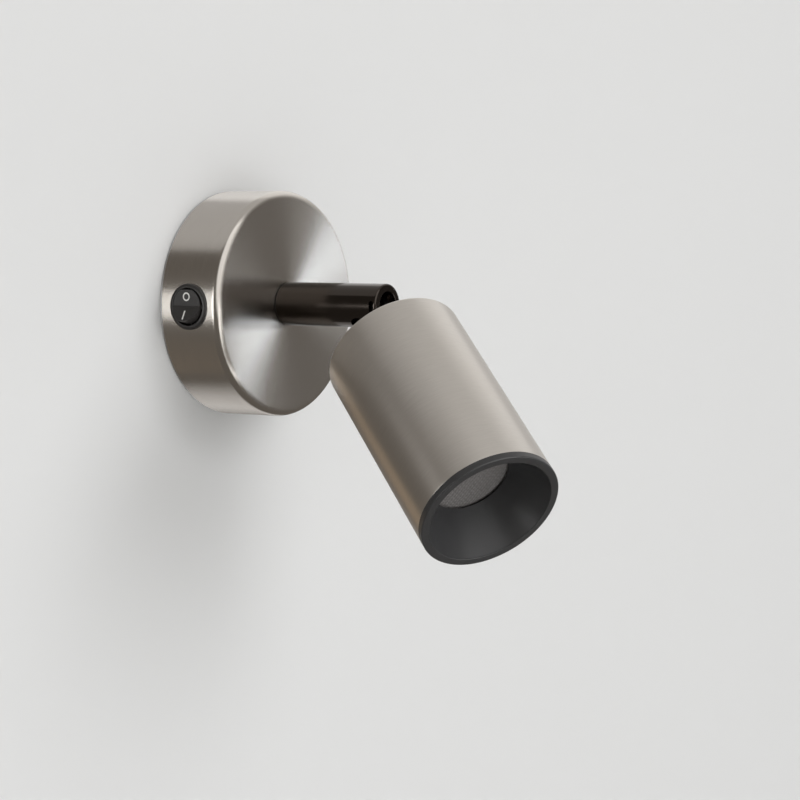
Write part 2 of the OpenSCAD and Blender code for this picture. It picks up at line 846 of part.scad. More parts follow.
module arm_leads() {
    color(live_brown) arm_place() for (side = [-1, 1]) translate([side * lead_pitch / 2, 0, 0])
        rod(stem_tail_out - grommet_t, pivot_out - barrel_r, lead_d);
}

// The yoke that carries the knuckle: two cheeks and two locking lugs
module joint_yoke() {
    color(black) arm_place() difference() {
        union() {
            rod(lip_out - fit - yoke_len, lip_out - fit, arm_bore_d - 2 * fit);
            for (side = [-1, 1]) rotate([0, side * window_angle, 0]) yoke_finger();
        }
        block([-cheek_in, pivot_out - barrel_r - 2 * room, -arm_d], [cheek_in, arm_end_out, arm_d]);
        rod(0, arm_end_out, yoke_wire_hole_d);
        outward_shift(pivot_out) {
            cross_bar(pivot_d, arm_d);
            for (side = [-1, 1]) scale([side, 1, 1]) translate([pivot_head_in, 0, 0])
                rotate([0, 90, 0]) cylinder(d = pivot_head_d + 2 * fit, h = arm_r);
        }
    }
}

// One locking finger, drawn under the arm's axis
module yoke_finger() {
    half = window_half;
    finger_top = lip_bore_d / 2 - fit;
    intersection() {
        sleeve(lip_out - over, lip_out + finger_len, 2 * finger_top, 2 * (finger_top - finger_t));
        block([-half, lip_out - over, -arm_r], [half, arm_end_out, 0]);
    }
    intersection() {
        sleeve(window_out - window_w / 2 + fit, window_out + window_w / 2 - fit,
               2 * (finger_top + lug_rise), 2 * (finger_top - finger_t));
        block([-half, lip_out, -arm_r], [half, arm_end_out, 0]);
    }
}

module pivot_screws() {
    tip = cavity_w / 2;
    color(zinc) arm_place() outward_shift(pivot_out) for (side = [-1, 1]) scale([side, 1, 1]) difference() {
        rotate([0, 90, 0]) {
            translate([0, 0, tip]) cylinder(d = pivot_d, h = pivot_head_in - tip);
            translate([0, 0, pivot_head_in]) cylinder(d = pivot_head_d, h = pivot_head_t);
        }
        translate([pivot_head_to - pivot_slot_deep, -pivot_slot_w / 2, -pivot_head_d])
            cube([pivot_slot_deep + over, pivot_slot_w, 2 * pivot_head_d]);
    }
}

module friction_washers() {
    color(brass) arm_place() outward_shift(pivot_out) for (side = [-1, 1]) scale([side, 1, 1])
        translate([cheek_in - washer_t, 0, 0]) rotate([0, 90, 0]) difference() {
            cylinder(d = washer_d, h = washer_t);
            translate([0, 0, -over]) cylinder(d = pivot_d + fit, h = washer_t + 2 * over);
        }
}

// Head
module knuckle() {
    nipple_end = head_back + nipple_len;
    color(black_nickel) head_place() difference() {
        union() {
            cross_bar(barrel_d, barrel_w);
            rod(0, head_back, neck_d);
            rod(head_back - collar_t, nipple_end, nipple_d);
        }
        cross_bar(pivot_d + 2 * fit, barrel_w + over);
        rod(0, nipple_end + over, neck_bore_d);
        // open side for the leads, from straight behind round to below
        translate([-cavity_w / 2, -neck_bore_d / 2, -barrel_d])
            cube([cavity_w, neck_bore_d / 2 + barrel_d, barrel_d + neck_bore_d / 2]);
    }
}

module neck_collar() {
    color(black_nickel) head_place() difference() {
        outward() rotate_extrude() rounded_profile(collar_d / 2, head_back - collar_t, head_back, collar_edge_r);
        rod(0, head_back + over, nipple_d);
    }
}

module head_shell() {
    color(nickel) head_place() difference() {
        outward() rotate_extrude() difference() {
            translate([0, head_back + head_front]) mirror([0, 1])
                rounded_profile(head_r, head_back, head_front, head_edge_r);
            translate([0, head_floor]) square([head_in_r, head_len]);
        }
        rod(0, head_front, nipple_d + 2 * nipple_hole_gap);
    }
}

module head_washer() {
    color(zinc) head_place() sleeve(head_floor + bracket_t, head_floor + bracket_t + head_washer_t,
                                    head_washer_d, nipple_d);
}

module head_nut() {
    color(brass) head_place() hex_nut(head_nut_from, head_nut_from + head_nut_t, head_nut_af, nipple_d);
}

// A bent strip: a foot under the nut, two legs, and two tabs for the lampholder
module holder_bracket() {
    color(zinc) head_place() difference() {
        union() {
            block([-bracket_foot_w / 2, head_floor, -bracket_w / 2],
                  [bracket_foot_w / 2, head_floor + bracket_t, bracket_w / 2]);
            for (side = [-1, 1]) scale([side, 1, 1]) {
                block([bracket_foot_w / 2 - bracket_t, head_floor, -bracket_w / 2],
                      [bracket_foot_w / 2, holder_out, bracket_w / 2]);
                block([bracket_tab_in, holder_out - bracket_t, -bracket_w / 2],
                      [bracket_foot_w / 2, holder_out, bracket_w / 2]);
            }
        }
        rod(0, head_front, nipple_d + 2 * nipple_hole_gap);
        holder_screw_place() rod(holder_out - 2 * bracket_t, holder_front, holder_screw_d);
    }
}

module holder_screw_place() {
    for (side = [-1, 1]) translate([side * holder_screw_spacing / 2, 0, 0]) children();
}

// The pins' two places, turned about the holder's middle
module pin_place(turn = 0) {
    outward() for (side = [0, 180]) rotate([0, 0, side + turn]) translate([pin_pitch / 2, 0, 0]) children();
}

// The two curved tracks that the lamp's pins turn in, at one depth
module pin_track(from, to, d) {
    half = asin(d / pin_pitch) + track_ease;
    outward(from) for (side = [0, 180]) rotate([0, 0, side - half]) rotate_extrude(angle = lamp_turn + 2 * half)
        translate([(pin_pitch - d) / 2, 0]) square([d, to - from]);
}

module lampholder() {
    half_w = holder_w / 2 - holder_corner_r;
    half_h = holder_h / 2 - holder_corner_r;
    shank = pin_shank_d + 2 * pin_gap;
    pin_head = pin_head_d + 2 * pin_gap;
    shank_from = holder_front - pin_shank_len + pin_gap;
    color(ceramic) head_place() difference() {
        union() {
            for (x = [-half_w, half_w], z = [-half_h, half_h]) translate([x, 0, z])
                rod(holder_out, holder_front, 2 * holder_corner_r);
            block([-holder_w / 2, holder_out, -half_h], [holder_w / 2, holder_front, half_h]);
            block([-half_w, holder_out, -holder_h / 2], [half_w, holder_front, holder_h / 2]);
        }
        pin_track(holder_front - pin_shank_len - pin_head_len - pin_gap, shank_from, pin_head);
        pin_track(shank_from - over, holder_front + over, shank);
        pin_place(lamp_turn) translate([0, 0, shank_from - over]) cylinder(d = pin_head, h = holder_t);
        holder_screw_place() {
            rod(holder_out - over, holder_front + over, holder_screw_d);
            rod(holder_front - holder_screw_well_t, holder_front + over, holder_screw_head_d + 2 * fit);
        }
        // wells that the leads and contacts come in by
        for (side = [-1, 1]) scale([side, 1, 1])
            block([contact_at - contact_w / 2, holder_out - over, -contact_w / 2],
                  [contact_at + contact_w / 2, contact_end, contact_w / 2]);
    }
}

module holder_contacts() {
    color(brass) head_place() for (side = [-1, 1]) scale([side, 1, 1])
        block([contact_at + contact_w / 2 - contact_t, holder_out, -contact_w / 2],
              [contact_at + contact_w / 2, contact_end - room, contact_w / 2]);
}

module holder_screws() {
    head_from = holder_front - holder_screw_well_t;
    head_to = head_from + holder_screw_head_t;
    color(zinc) head_place() holder_screw_place() difference() {
        union() {
            rod(holder_out - bracket_t - holder_screw_tail, head_from, holder_screw_d);
            rod(head_from, head_to, holder_screw_head_d);
        }
        block([-holder_screw_head_d, head_to - holder_screw_slot_deep, -holder_screw_slot_w / 2],
              [holder_screw_head_d, head_to + over, holder_screw_slot_w / 2]);
    }
}

// Leads from the holder's contacts, through the nipple and down the neck
module head_leads() {
    lead_x = contact_at + contact_w / 2 - contact_t - lead_d / 2;
    turn_out = head_back + nipple_len + lead_d + room;
    color(live_brown) head_place() for (side = [-1, 1]) lead([
        at(side * lead_x, holder_out + contact_w, 0), at(side * lead_x, turn_out, 0),
        at(side * lead_pitch / 2, turn_out, 0), at(side * lead_pitch / 2, neck_bore_d / 2, 0)], lead_d);
}

// Lamp
module lamp_body() {
    base_from = holder_front + lamp_seat_gap;
    flare_from = base_from + lamp_base_len;
    rim_from = lamp_front - lamp_rim_len;
    color(white) head_place() difference() {
        outward() rotate_extrude() difference() {
            union() {
                translate([0, base_from]) square([lamp_base_d / 2, lamp_base_len]);
                polygon([[0, flare_from], [lamp_neck_d / 2, flare_from],
                         [lamp_neck_d / 2, flare_from + lamp_neck_len], [lamp_d / 2, rim_from], [0, rim_from]]);
                rounded_profile(lamp_d / 2, rim_from, lamp_front, lamp_edge_r);
            }
            translate([0, lamp_front - lens_t]) square([lens_d / 2, lens_t + over]);
        }
        // cooling grooves down the flare
        for (i = [0 : fin_count - 1]) rotate([0, 360 * i / fin_count, 0])
            block([-fin_groove_w / 2, rim_from - lamp_rim_len * fin_len_share, lamp_d / 2 - fin_groove_deep],
                  [fin_groove_w / 2, rim_from + lamp_rim_len * fin_len_share, lamp_d]);
    }
}

module lamp_pins() {
    color(brass) head_place() pin_place() {
        translate([0, 0, holder_front - pin_shank_len]) cylinder(d = pin_shank_d, h = pin_shank_len + lamp_seat_gap);
        translate([0, 0, holder_front - pin_shank_len - pin_head_len]) cylinder(d = pin_head_d, h = pin_head_len);
    }
}

module lamp_lens() {
    color(frosted) head_place() rod(lamp_front - lens_t, lamp_front, lens_d);
}

// Baffle: a band and a cone in one piece, with a skirt in the head's tube
module baffle() {
    skirt_from = head_front - skirt_len;
    back = min(throat_out, skirt_from) - over;
    cone_r = throat_d / 2 + baffle_wall;
    color(black) head_place() difference() {
        outward() rotate_extrude() difference() {
            union() {
                rounded_profile(head_r, head_front, mouth_out, band_edge_r);
                translate([0, skirt_from]) square([skirt_r, skirt_len]);
                polygon([[0, throat_out], [cone_r, throat_out], [skirt_r, head_front], [0, head_front]]);
            }
            polygon([[0, back], [throat_d / 2, back], [throat_d / 2, throat_out],
                     [mouth_d / 2, mouth_out - band_rim_w], [mouth_d / 2, mouth_out + over], [0, mouth_out + over]]);
            // hollow between the cone and the skirt
            polygon([[cone_r, back], [cone_r, throat_out], [skirt_in_r, head_front - baffle_wall], [skirt_in_r, back]]);
        }
        spring_place() block([-spring_w / 2, back, spring_seat_r], [spring_w / 2, skirt_from + spring_len + room, head_r]);
    }
}

module spring_place() {
    for (i = [0 : spring_count - 1]) rotate([0, 360 * i / spring_count, 0]) children();
}

// Bowed spring clips, hooked over the skirt's back edge, that grip the tube's bore
module baffle_springs() {
    from = head_front - skirt_len;
    bend = spring_len / 6;
    bow = sqrt(pow(head_in_r, 2) - pow(spring_w / 2, 2)) - spring_slack - spring_t - spring_seat_r;
    leg = skirt_in_r - spring_slack - pow(spring_w, 2) / skirt_in_r / 8;
    color(zinc) head_place() spring_place() rotate([90, 0, 90]) linear_extrude(height = spring_w, center = true)
        polygon([for (p = [
            [-spring_t, leg - spring_t], [spring_leg_len, leg - spring_t], [spring_leg_len, leg], [0, leg],
            [0, spring_seat_r], [bend, spring_seat_r], [3 * bend, spring_seat_r + bow],
            [5 * bend, spring_seat_r], [6 * bend, spring_seat_r], [6 * bend, spring_seat_r + spring_t],
            [5 * bend, spring_seat_r + spring_t], [3 * bend, spring_seat_r + bow + spring_t],
            [bend, spring_seat_r + spring_t], [-spring_t, spring_seat_r + spring_t]
        ]) [-from - p[0], p[1]]]);
}

mounting_plate();
earth_screw();
terminal_block();
terminal_sleeves();
terminal_screws();
block_screw();
canopy();
canopy_screws();
stop_peg();
arm_bush();
disc_spring();
switch_housing();
switch_tabs();
switch_rocker();
rocker_marks();
neutral_lead();
switch_leads();
earth_lead();
earth_tag();
arm_tube();
arm_stem();
stop_washer();
stem_nuts();
stem_grommet();
arm_leads();
joint_yoke();
pivot_screws();
friction_washers();
knuckle();
neck_collar();
head_shell();
head_washer();
head_nut();
holder_bracket();
lampholder();
holder_contacts();
holder_screws();
head_leads();
lamp_body();
lamp_pins();
lamp_lens();
baffle();
baffle_springs();
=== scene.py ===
import json
from math import cos, pi, radians, sin, sqrt, tan

import bmesh
import bpy
from bpy.props import FloatProperty, FloatVectorProperty, PointerProperty
from mathutils import Matrix, Vector


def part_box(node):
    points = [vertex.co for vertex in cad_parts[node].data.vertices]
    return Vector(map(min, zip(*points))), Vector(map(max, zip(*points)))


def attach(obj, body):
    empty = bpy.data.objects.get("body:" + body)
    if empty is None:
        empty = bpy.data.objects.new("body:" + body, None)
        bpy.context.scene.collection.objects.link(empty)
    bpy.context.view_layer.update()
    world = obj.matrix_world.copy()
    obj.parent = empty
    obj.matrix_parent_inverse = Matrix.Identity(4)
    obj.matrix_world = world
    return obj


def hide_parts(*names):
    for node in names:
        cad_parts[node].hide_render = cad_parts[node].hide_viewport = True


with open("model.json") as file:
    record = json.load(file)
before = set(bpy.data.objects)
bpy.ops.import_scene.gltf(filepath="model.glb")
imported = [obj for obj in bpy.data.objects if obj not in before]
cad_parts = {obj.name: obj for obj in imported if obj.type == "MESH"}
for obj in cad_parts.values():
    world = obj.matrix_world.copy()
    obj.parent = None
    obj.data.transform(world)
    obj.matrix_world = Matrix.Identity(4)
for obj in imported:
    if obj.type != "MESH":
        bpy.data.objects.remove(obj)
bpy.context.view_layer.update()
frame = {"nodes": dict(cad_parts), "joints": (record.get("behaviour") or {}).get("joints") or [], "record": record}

bl_info = {
    "name": "Bedside Wall Reading Lamp",
    "version": (1, 0, 0),
    "blender": (4, 5, 0),
    "location": "View3D > Sidebar > Reading Lamp",
    "description": "Smooth pieces, finishes and a studio for a wall lamp with a tilting head",
    "category": "Object",
}

MM = 0.001
# Rounds closer together than this are one point
WELD = 1e-7


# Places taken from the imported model

def joint(name):
    """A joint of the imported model, by its name."""
    return next(j for j in frame["joints"] if j["name"] == name)


def out_matrix(across, outward, origin):
    """A place whose -Y is the outward direction and whose X lies across it."""
    x, y = Vector(across).normalized(), -Vector(outward).normalized()
    z = x.cross(y)
    return Matrix((
        (x.x, y.x, z.x, origin[0]), (x.y, y.y, z.y, origin[1]), (x.z, y.z, z.z, origin[2]), (0, 0, 0, 1)))


SLOT = {part["node"]: part["material_slot"] for part in frame["record"]["subparts"]}
BODY = {node: body for body, members in frame["record"]["behaviour"]["bodies"].items() for node in members}
TILT = joint("head_tilt")
HEAD_AXIS = joint("baffle_pull")["axis"]
WALL = Matrix.Identity(4)
ARM = out_matrix(TILT["axis"], (0, -1, 0), (0, 0, 0))
HEAD = out_matrix(TILT["axis"], HEAD_AXIS, TILT["pos_m"])
PIVOT_OUT = -TILT["pos_m"][1]
CANOPY_LOW, CANOPY_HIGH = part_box("canopy")
CANOPY_R = CANOPY_HIGH.x
CANOPY_OUT = -CANOPY_LOW.y
PRESS = joint("rocker_press")
SWITCH_OUT = -PRESS["pos_m"][1]
PRESS_IN = -PRESS["pos_m"][0] - CANOPY_R
# The switch's own place: +Z out of the canopy's side and +X up
SWITCH = Matrix.Translation((-CANOPY_R, -SWITCH_OUT, 0)) @ Matrix.Rotation(-pi / 2, 4, "Y")
# The same, with -Y out of the canopy's side, as a lathe wants it
SWITCH_TURNED = SWITCH @ Matrix.Rotation(-pi / 2, 4, "X")
ROCKER_HALF = radians(13.5)
ROCKER = SWITCH @ Matrix.Translation((0, 0, -PRESS_IN)) @ Matrix.Rotation(ROCKER_HALF, 4, "Y")


# Sizes, colours and studio settings, as the panel shows them

def length(name, default, about):
    """A length that shows in the panel, given in millimetres."""
    return FloatProperty(name=name, description=about, default=default * MM, min=0, unit="LENGTH",
                         precision=5)


def tint(name, default, about):
    """A colour that shows in the panel."""
    return FloatVectorProperty(name=name, description=about, default=default, size=3, min=0, max=1,
                               subtype="COLOR")


def share(name, default, about):
    """A share from 0 to 1 that shows in the panel."""
    return FloatProperty(name=name, description=about, default=default, min=0, max=1, subtype="FACTOR")


class CanopySettings(bpy.types.PropertyGroup):
    """Sizes of the round canopy on the wall."""
    radius: FloatProperty(
        name="Radius", description="Outer radius of the canopy", default=CANOPY_R, unit="LENGTH", precision=5)
    depth: FloatProperty(
        name="Depth", description="Distance from the wall to the canopy's face", default=CANOPY_OUT,
        unit="LENGTH", precision=5)
    wall: length("Wall", 1.5, "Sheet thickness of the canopy")
    edge: length("Edge", 3.5, "Rounding of the front edge")
    foot: length("Foot", 1.0, "Distance from the wall to the canopy's rim")
    bush_hole: length("Bush Hole", 6.5, "Radius of the hole for the arm's bush")
    switch_hole: length("Switch Hole", 9.25, "Radius of the hole for the switch")
    screw_hole: length("Screw Hole", 2.2, "Radius of the holes for the set screws")
    screw_out: length("Screw Place", 9.0, "Distance from the wall to the set screws")


class SwitchSettings(bpy.types.PropertyGroup):
    """Sizes of the round rocker switch in the canopy's side."""
    flange: length("Flange", 10.0, "Outer radius of the flange")
    proud: length("Flange Height", 1.2, "How far the flange stands proud of the canopy")
    well: length("Well", 8.1, "Radius of the round well that the rocker sits in")
    body: length("Body", 9.2, "Radius of the body behind the flange")
    body_depth: length("Body Depth", 17.0, "Depth of the body")
    rocker: length("Rocker", 7.3, "Radius of the rocker")
    rocker_edge: length("Rocker Edge", 0.28, "Rounding of the rocker's edges")
    ring: length("Ring Mark", 1.9, "Outer radius of the off mark")
    stroke: length("Ring Stroke", 0.65, "Width of the off mark's line")
    bar: length("Bar Mark", 4.1, "Length of the on mark")
    bar_width: length("Bar Width", 0.75, "Width of the on mark")


class ArmSettings(bpy.types.PropertyGroup):
    """Sizes of the arm and its open end."""
    radius: length("Radius", 9.6, "Outer radius of the arm")
    bore: length("Bore", 8.0, "Radius of the arm's bore")
    base: length("Base", 32.45, "Distance from the wall to the arm's back end")
    end: length("End", 86.0, "Distance from the wall to the arm's open end")
    lip: length("Lip", 6.25, "Radius of the bore at the open end")
    lip_depth: length("Lip Depth", 4.0, "Length of the lip")
    edge: length("Edge", 1.0, "Rounding of the open end")
    slot: length("Slot", 4.5, "Half the width of the slot that the neck swings in")
    window: length("Window", 1.2, "Half the width of the lock windows")
    window_run: length("Window Run", 1.3, "Half the straight run of the lock windows")
    window_out: length("Window Place", 83.7, "Distance from the wall to the lock windows")


class HeadSettings(bpy.types.PropertyGroup):
    """Sizes of the head's tube, its collar, its baffle and its lens, out from the pivot."""
    radius: length("Radius", 30.25, "Outer radius of the head")
    back: length("Back", 30.2, "Distance from the pivot to the head's back")
    front: length("Front", 125.8, "Distance from the pivot to the tube's front edge")
    wall: length("Wall", 1.2, "Wall of the tube")
    edge: length("Edge", 1.5, "Rounding of the back edge")
    nipple_hole: length("Nipple Hole", 5.15, "Radius of the hole in the head's back")
    collar: length("Collar", 8.0, "Radius of the neck's collar")
    collar_height: length("Collar Height", 3.2, "Height of the neck's collar")
    band: length("Band", 3.0, "Width of the baffle's band")
    mouth: length("Mouth", 26.8, "Radius of the baffle's mouth")
    throat: length("Throat", 16.85, "Radius of the baffle's throat")
    throat_out: length("Throat Place", 109.3, "Distance from the pivot to the throat")
    lens: length("Lens", 23.0, "Radius of the lens")
    lens_out: length("Lens Place", 108.3, "Distance from the pivot to the lens's front")
    lens_depth: length("Lens Depth", 1.5, "Thickness of the lens")
    lens_crown: length("Lens Crown", 0.4, "How much the lens's middle stands past its edge")


class FinishSettings(bpy.types.PropertyGroup):
    """Colours of the finishes."""
    nickel: tint("Nickel", (0.60, 0.57, 0.53), "Brushed nickel of the canopy and the head")
    black_nickel: tint("Black Nickel", (0.068, 0.058, 0.051), "Black nickel of the arm")
    charcoal: tint("Charcoal", (0.030, 0.028, 0.027), "Moulded plastic of the switch")
    baffle_paint: tint("Baffle Paint", (0.036, 0.036, 0.037), "Matt paint of the baffle")
    lens: tint("Lens", (0.20, 0.19, 0.185), "Frosted lens of the lamp")
    brushing: share("Brushing", 0.14, "Usual slope of the brushed grooves on the head")
    spinning: share("Spinning", 0.2, "Usual slope of the turned grooves on the canopy")


class StageSettings(bpy.types.PropertyGroup):
    """The studio: the wall, the floor, the lights and the camera."""
    wall_tone: tint("Wall", (0.752, 0.760, 0.761), "Paint of the wall")
    floor_drop: length("Floor Drop", 1200.0, "How far the floor lies under the lamp")
    lens: FloatProperty(name="Camera Lens", description="Focal length", default=108.5, unit="CAMERA")
    azimuth: FloatProperty(name="Azimuth", description="Camera's angle round the lamp",
                           default=radians(-55.71), subtype="ANGLE")
    elevation: FloatProperty(name="Elevation", description="Camera's angle above the horizon",
                             default=radians(4.353), subtype="ANGLE")
    roll: FloatProperty(name="Roll", description="Camera's turn about its own axis", default=radians(-0.18),
                        subtype="ANGLE")
    away: FloatProperty(name="Distance", description="Depth of the canopy's face in front of the camera",
                        default=1.0714, unit="LENGTH")
    right: FloatProperty(name="Right", description="Canopy's middle to the right of the camera's axis",
                         default=-0.04986, unit="LENGTH")
    up: FloatProperty(name="Up", description="Canopy's middle above the camera's axis", default=0.04278,
                      unit="LENGTH")


# Shaping

def link(name, mesh):
    """A new object in the scene's collection."""
    piece = bpy.data.objects.new(name, mesh)
    bpy.context.scene.collection.objects.link(piece)
    return piece


def made(name, bm, place=WALL):
    """An object from a bmesh, put in its place."""
    bmesh.ops.remove_doubles(bm, verts=bm.verts, dist=WELD)
    bmesh.ops.recalc_face_normals(bm, faces=bm.faces)
    bmesh.ops.transform(bm, matrix=place, verts=bm.verts)
    mesh = bpy.data.meshes.new(name)
    bm.to_mesh(mesh)
    bm.free()
    return link(name, mesh)


def turned(profile, rounds=(), steps=192, closed=True):
    """Turns an outline of (radius, out) points about -Y, and rounds the corners named in rounds."""
    bm = bmesh.new()
    ring = [bm.verts.new((r, -out, 0)) for r, out in profile]
    pairs = list(zip(ring, ring[1:])) + ([(ring[-1], ring[0])] if closed else [])
    edges = [bm.edges.new(pair) for pair in pairs]
    bmesh.ops.spin(bm, geom=ring + edges, cent=(0, 0, 0), axis=(0, 1, 0), dvec=(0, 0, 0), angle=2 * pi,
                   steps=steps, use_merge=True)
    bmesh.ops.remove_doubles(bm, verts=bm.verts, dist=WELD)
    bmesh.ops.recalc_face_normals(bm, faces=bm.faces)
    for corner, radius, segments in rounds:
        round_ring(bm, profile[corner], radius, segments)
    return bm


def round_ring(bm, corner, radius, segments):
    """Rounds the circle of edges that a corner of the outline has made."""
    r, out = corner
    near = 0.01 * MM

    def on_ring(v):
        return abs(sqrt(v.co.x ** 2 + v.co.z ** 2) - r) < near and abs(-v.co.y - out) < near
    edges = [e for e in bm.edges if on_ring(e.verts[0]) and on_ring(e.verts[1])]
    bmesh.ops.bevel(bm, geom=edges, offset=radius, offset_type="OFFSET", segments=segments, profile=0.5,
                    affect="EDGES", material=-1, clamp_overlap=False)


def bar(start, end, radius, steps=64):
    """A round bar between two points, as a cutter or a piece."""
    start, end = Vector(start), Vector(end)
    run = end - start
    bm = bmesh.new()
    bmesh.ops.create_cone(bm, cap_ends=True, segments=steps, radius1=radius, radius2=radius, depth=run.length)
    turn = Vector((0, 0, 1)).rotation_difference(run).to_matrix().to_4x4()
    bmesh.ops.transform(bm, matrix=Matrix.Translation((start + end) / 2) @ turn, verts=bm.verts)
    return bm


def brick(low, high):
    """A block from one corner to the other."""
    low, high = Vector(low), Vector(high)
    bm = bmesh.new()
    bmesh.ops.create_cube(bm, size=1)
    size = Matrix.Diagonal((*(high - low), 1))
    bmesh.ops.transform(bm, matrix=Matrix.Translation((low + high) / 2) @ size, verts=bm.verts)
    return bm


def joined(bm, other):
    """Adds one bmesh to another."""
    spare = bpy.data.meshes.new("spare")
    other.to_mesh(spare)
    other.free()
    bm.from_mesh(spare)
    bpy.data.meshes.remove(spare)
    return bm


def apply_modifiers(piece):
    """Makes what the modifiers show the piece's own mesh."""
    graph = bpy.context.evaluated_depsgraph_get()
    mesh = bpy.data.meshes.new_from_object(piece.evaluated_get(graph))
    piece.modifiers.clear()
    piece.data = mesh


def carve(piece, cutters, operation="DIFFERENCE"):
    """Cuts the shapes of some bmeshes out of a piece, one after another."""
    for cutter in cutters:
        tool = made("cutter", cutter)
        cut = piece.modifiers.new("Cut", "BOOLEAN")
        cut.operation, cut.solver, cut.object = operation, "EXACT", tool
        apply_modifiers(piece)
        bpy.data.objects.remove(tool)


def soften(piece, width, segments=3, angle=35):
    """Rounds a piece's sharp edges a little, as a mould or a deburring does."""
    edge = piece.modifiers.new("Edge", "BEVEL")
    edge.width, edge.segments, edge.limit_method, edge.angle_limit = width, segments, "ANGLE", radians(angle)
    edge.harden_normals = False
    apply_modifiers(piece)


def dress(piece, finish, body, *nodes, slot=None, sharp=32):
    """Shades a piece smooth, gives it its finish and its body, and hides the imported nodes that it stands for."""
    piece.data.shade_smooth()
    piece.data.set_sharp_from_angle(angle=radians(sharp))
    even = piece.modifiers.new("Even Shading", "WEIGHTED_NORMAL")
    even.keep_sharp, even.weight = True, 90
    piece.data.materials.clear()
    piece.data.materials.append(finish)
    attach(piece, body)
    if nodes:
        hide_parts(*nodes)
    return piece


def welded_copy(node, name):
    """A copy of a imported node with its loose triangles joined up."""
    bm = bmesh.new()
    bm.from_mesh(frame["nodes"][node].data)
    bmesh.ops.remove_doubles(bm, verts=bm.verts, dist=1e-6)
    mesh = bpy.data.meshes.new(name)
    bm.to_mesh(mesh)
    bm.free()
    return link(name, mesh)


# Finishes and their shader maths

class Sock:
    """A shader socket that can be worked with as a number or a vector."""

    def __init__(self, finish, socket):
        self.finish, self.socket = finish, socket

    def maths(self, operation, *others, swapped=False):
        parts = [self, *others]
        if swapped:
            parts.reverse()
        return self.finish.add("ShaderNodeMath", {"operation": operation}, dict(enumerate(parts)))

    def __add__(self, other):
        return self.maths("ADD", other)

    def __sub__(self, other):
        return self.maths("SUBTRACT", other)

    def __rsub__(self, other):
        return self.maths("SUBTRACT", other, swapped=True)

    def __mul__(self, other):
        return self.maths("MULTIPLY", other)

    __radd__ = __add__
    __rmul__ = __mul__

    def vector(self, operation, *others, output=0):
        return self.finish.add("ShaderNodeVectorMath", {"operation": operation},
                               dict(enumerate([self, *others])), output)

    def dot(self, other):
        return self.vector("DOT_PRODUCT", other, output="Value")


class Finish:
    """A material in the making: its nodes and its shader."""

    def __init__(self, name, **fixed):
        self.material = bpy.data.materials.new(name)
        self.material.use_nodes = True
        self.tree = self.material.node_tree
        self.shader = self.tree.nodes["Principled BSDF"]
        for socket, value in fixed.items():
            self.shader.inputs[socket.replace("_", " ")].default_value = value

    def add(self, kind, settings=None, inputs=None, output=0):
        """Adds a node: its settings are set first, then the values or links of its sockets."""
        node = self.tree.nodes.new(kind)
        for key, value in (settings or {}).items():
            if key == "stops":
                ramp = node.color_ramp
                for place, shade in value[1:-1]:
                    ramp.elements.new(place)
                for stop, (place, shade) in zip(ramp.elements, value):
                    stop.position, stop.color = place, (*shade, 1) if len(shade) == 3 else shade
            else:
                setattr(node, key, value)
        for key, value in (inputs or {}).items():
            self.join(node.inputs[key], value)
        return Sock(self, node.outputs[output])

    def join(self, target, value):
        if isinstance(value, Sock):
            self.tree.links.new(value.socket, target)
        else:
            target.default_value = value

    def feed(self, socket, value):
        """Lets a value that changes over the surface reach the shader."""
        self.join(self.shader.inputs[socket], value)

    def place(self):
        return self.add("ShaderNodeTexCoord", output="Object")

    def scaled(self, vector, factor):
        """A vector made longer or shorter by a number."""
        return self.add("ShaderNodeVectorMath", {"operation": "SCALE"}, {0: vector, 3: factor})

    def noise(self, vector, scale, detail=3.0, roughness=0.5, output=0):
        return self.add("ShaderNodeTexNoise", {}, {
            "Vector": vector, "Scale": scale, "Detail": detail, "Roughness": roughness}, output)

    def mix(self, factor, first, second):
        """Mixes two colours."""
        return self.add("ShaderNodeMix", {"data_type": "RGBA"}, {0: factor, 6: first, 7: second}, output=2)

    def bump(self, height, distance, strength=1.0):
        return self.add("ShaderNodeBump", {}, {"Height": height, "Distance": distance, "Strength": strength})

    def spread(self, value, low, high, to_low, to_high):
        """Stretches a value from one range to another, held at its ends."""
        return self.add("ShaderNodeMapRange", {"clamp": True}, {
            0: value, 1: low, 2: high, 3: to_low, 4: to_high})


def shade(colour, factor):
    """A colour made lighter or darker, with full alpha."""
    return (*[min(1.0, c * factor) for c in colour], 1.0)


# How far the sides of brushed grooves lean, as shares of their usual slope, and how much metal leans so
GROOVE_SIDES = [(-1.8, 0.055), (-1.2, 0.13), (-0.6, 0.2), (0.0, 0.23), (0.6, 0.2), (1.2, 0.13), (1.8, 0.055)]


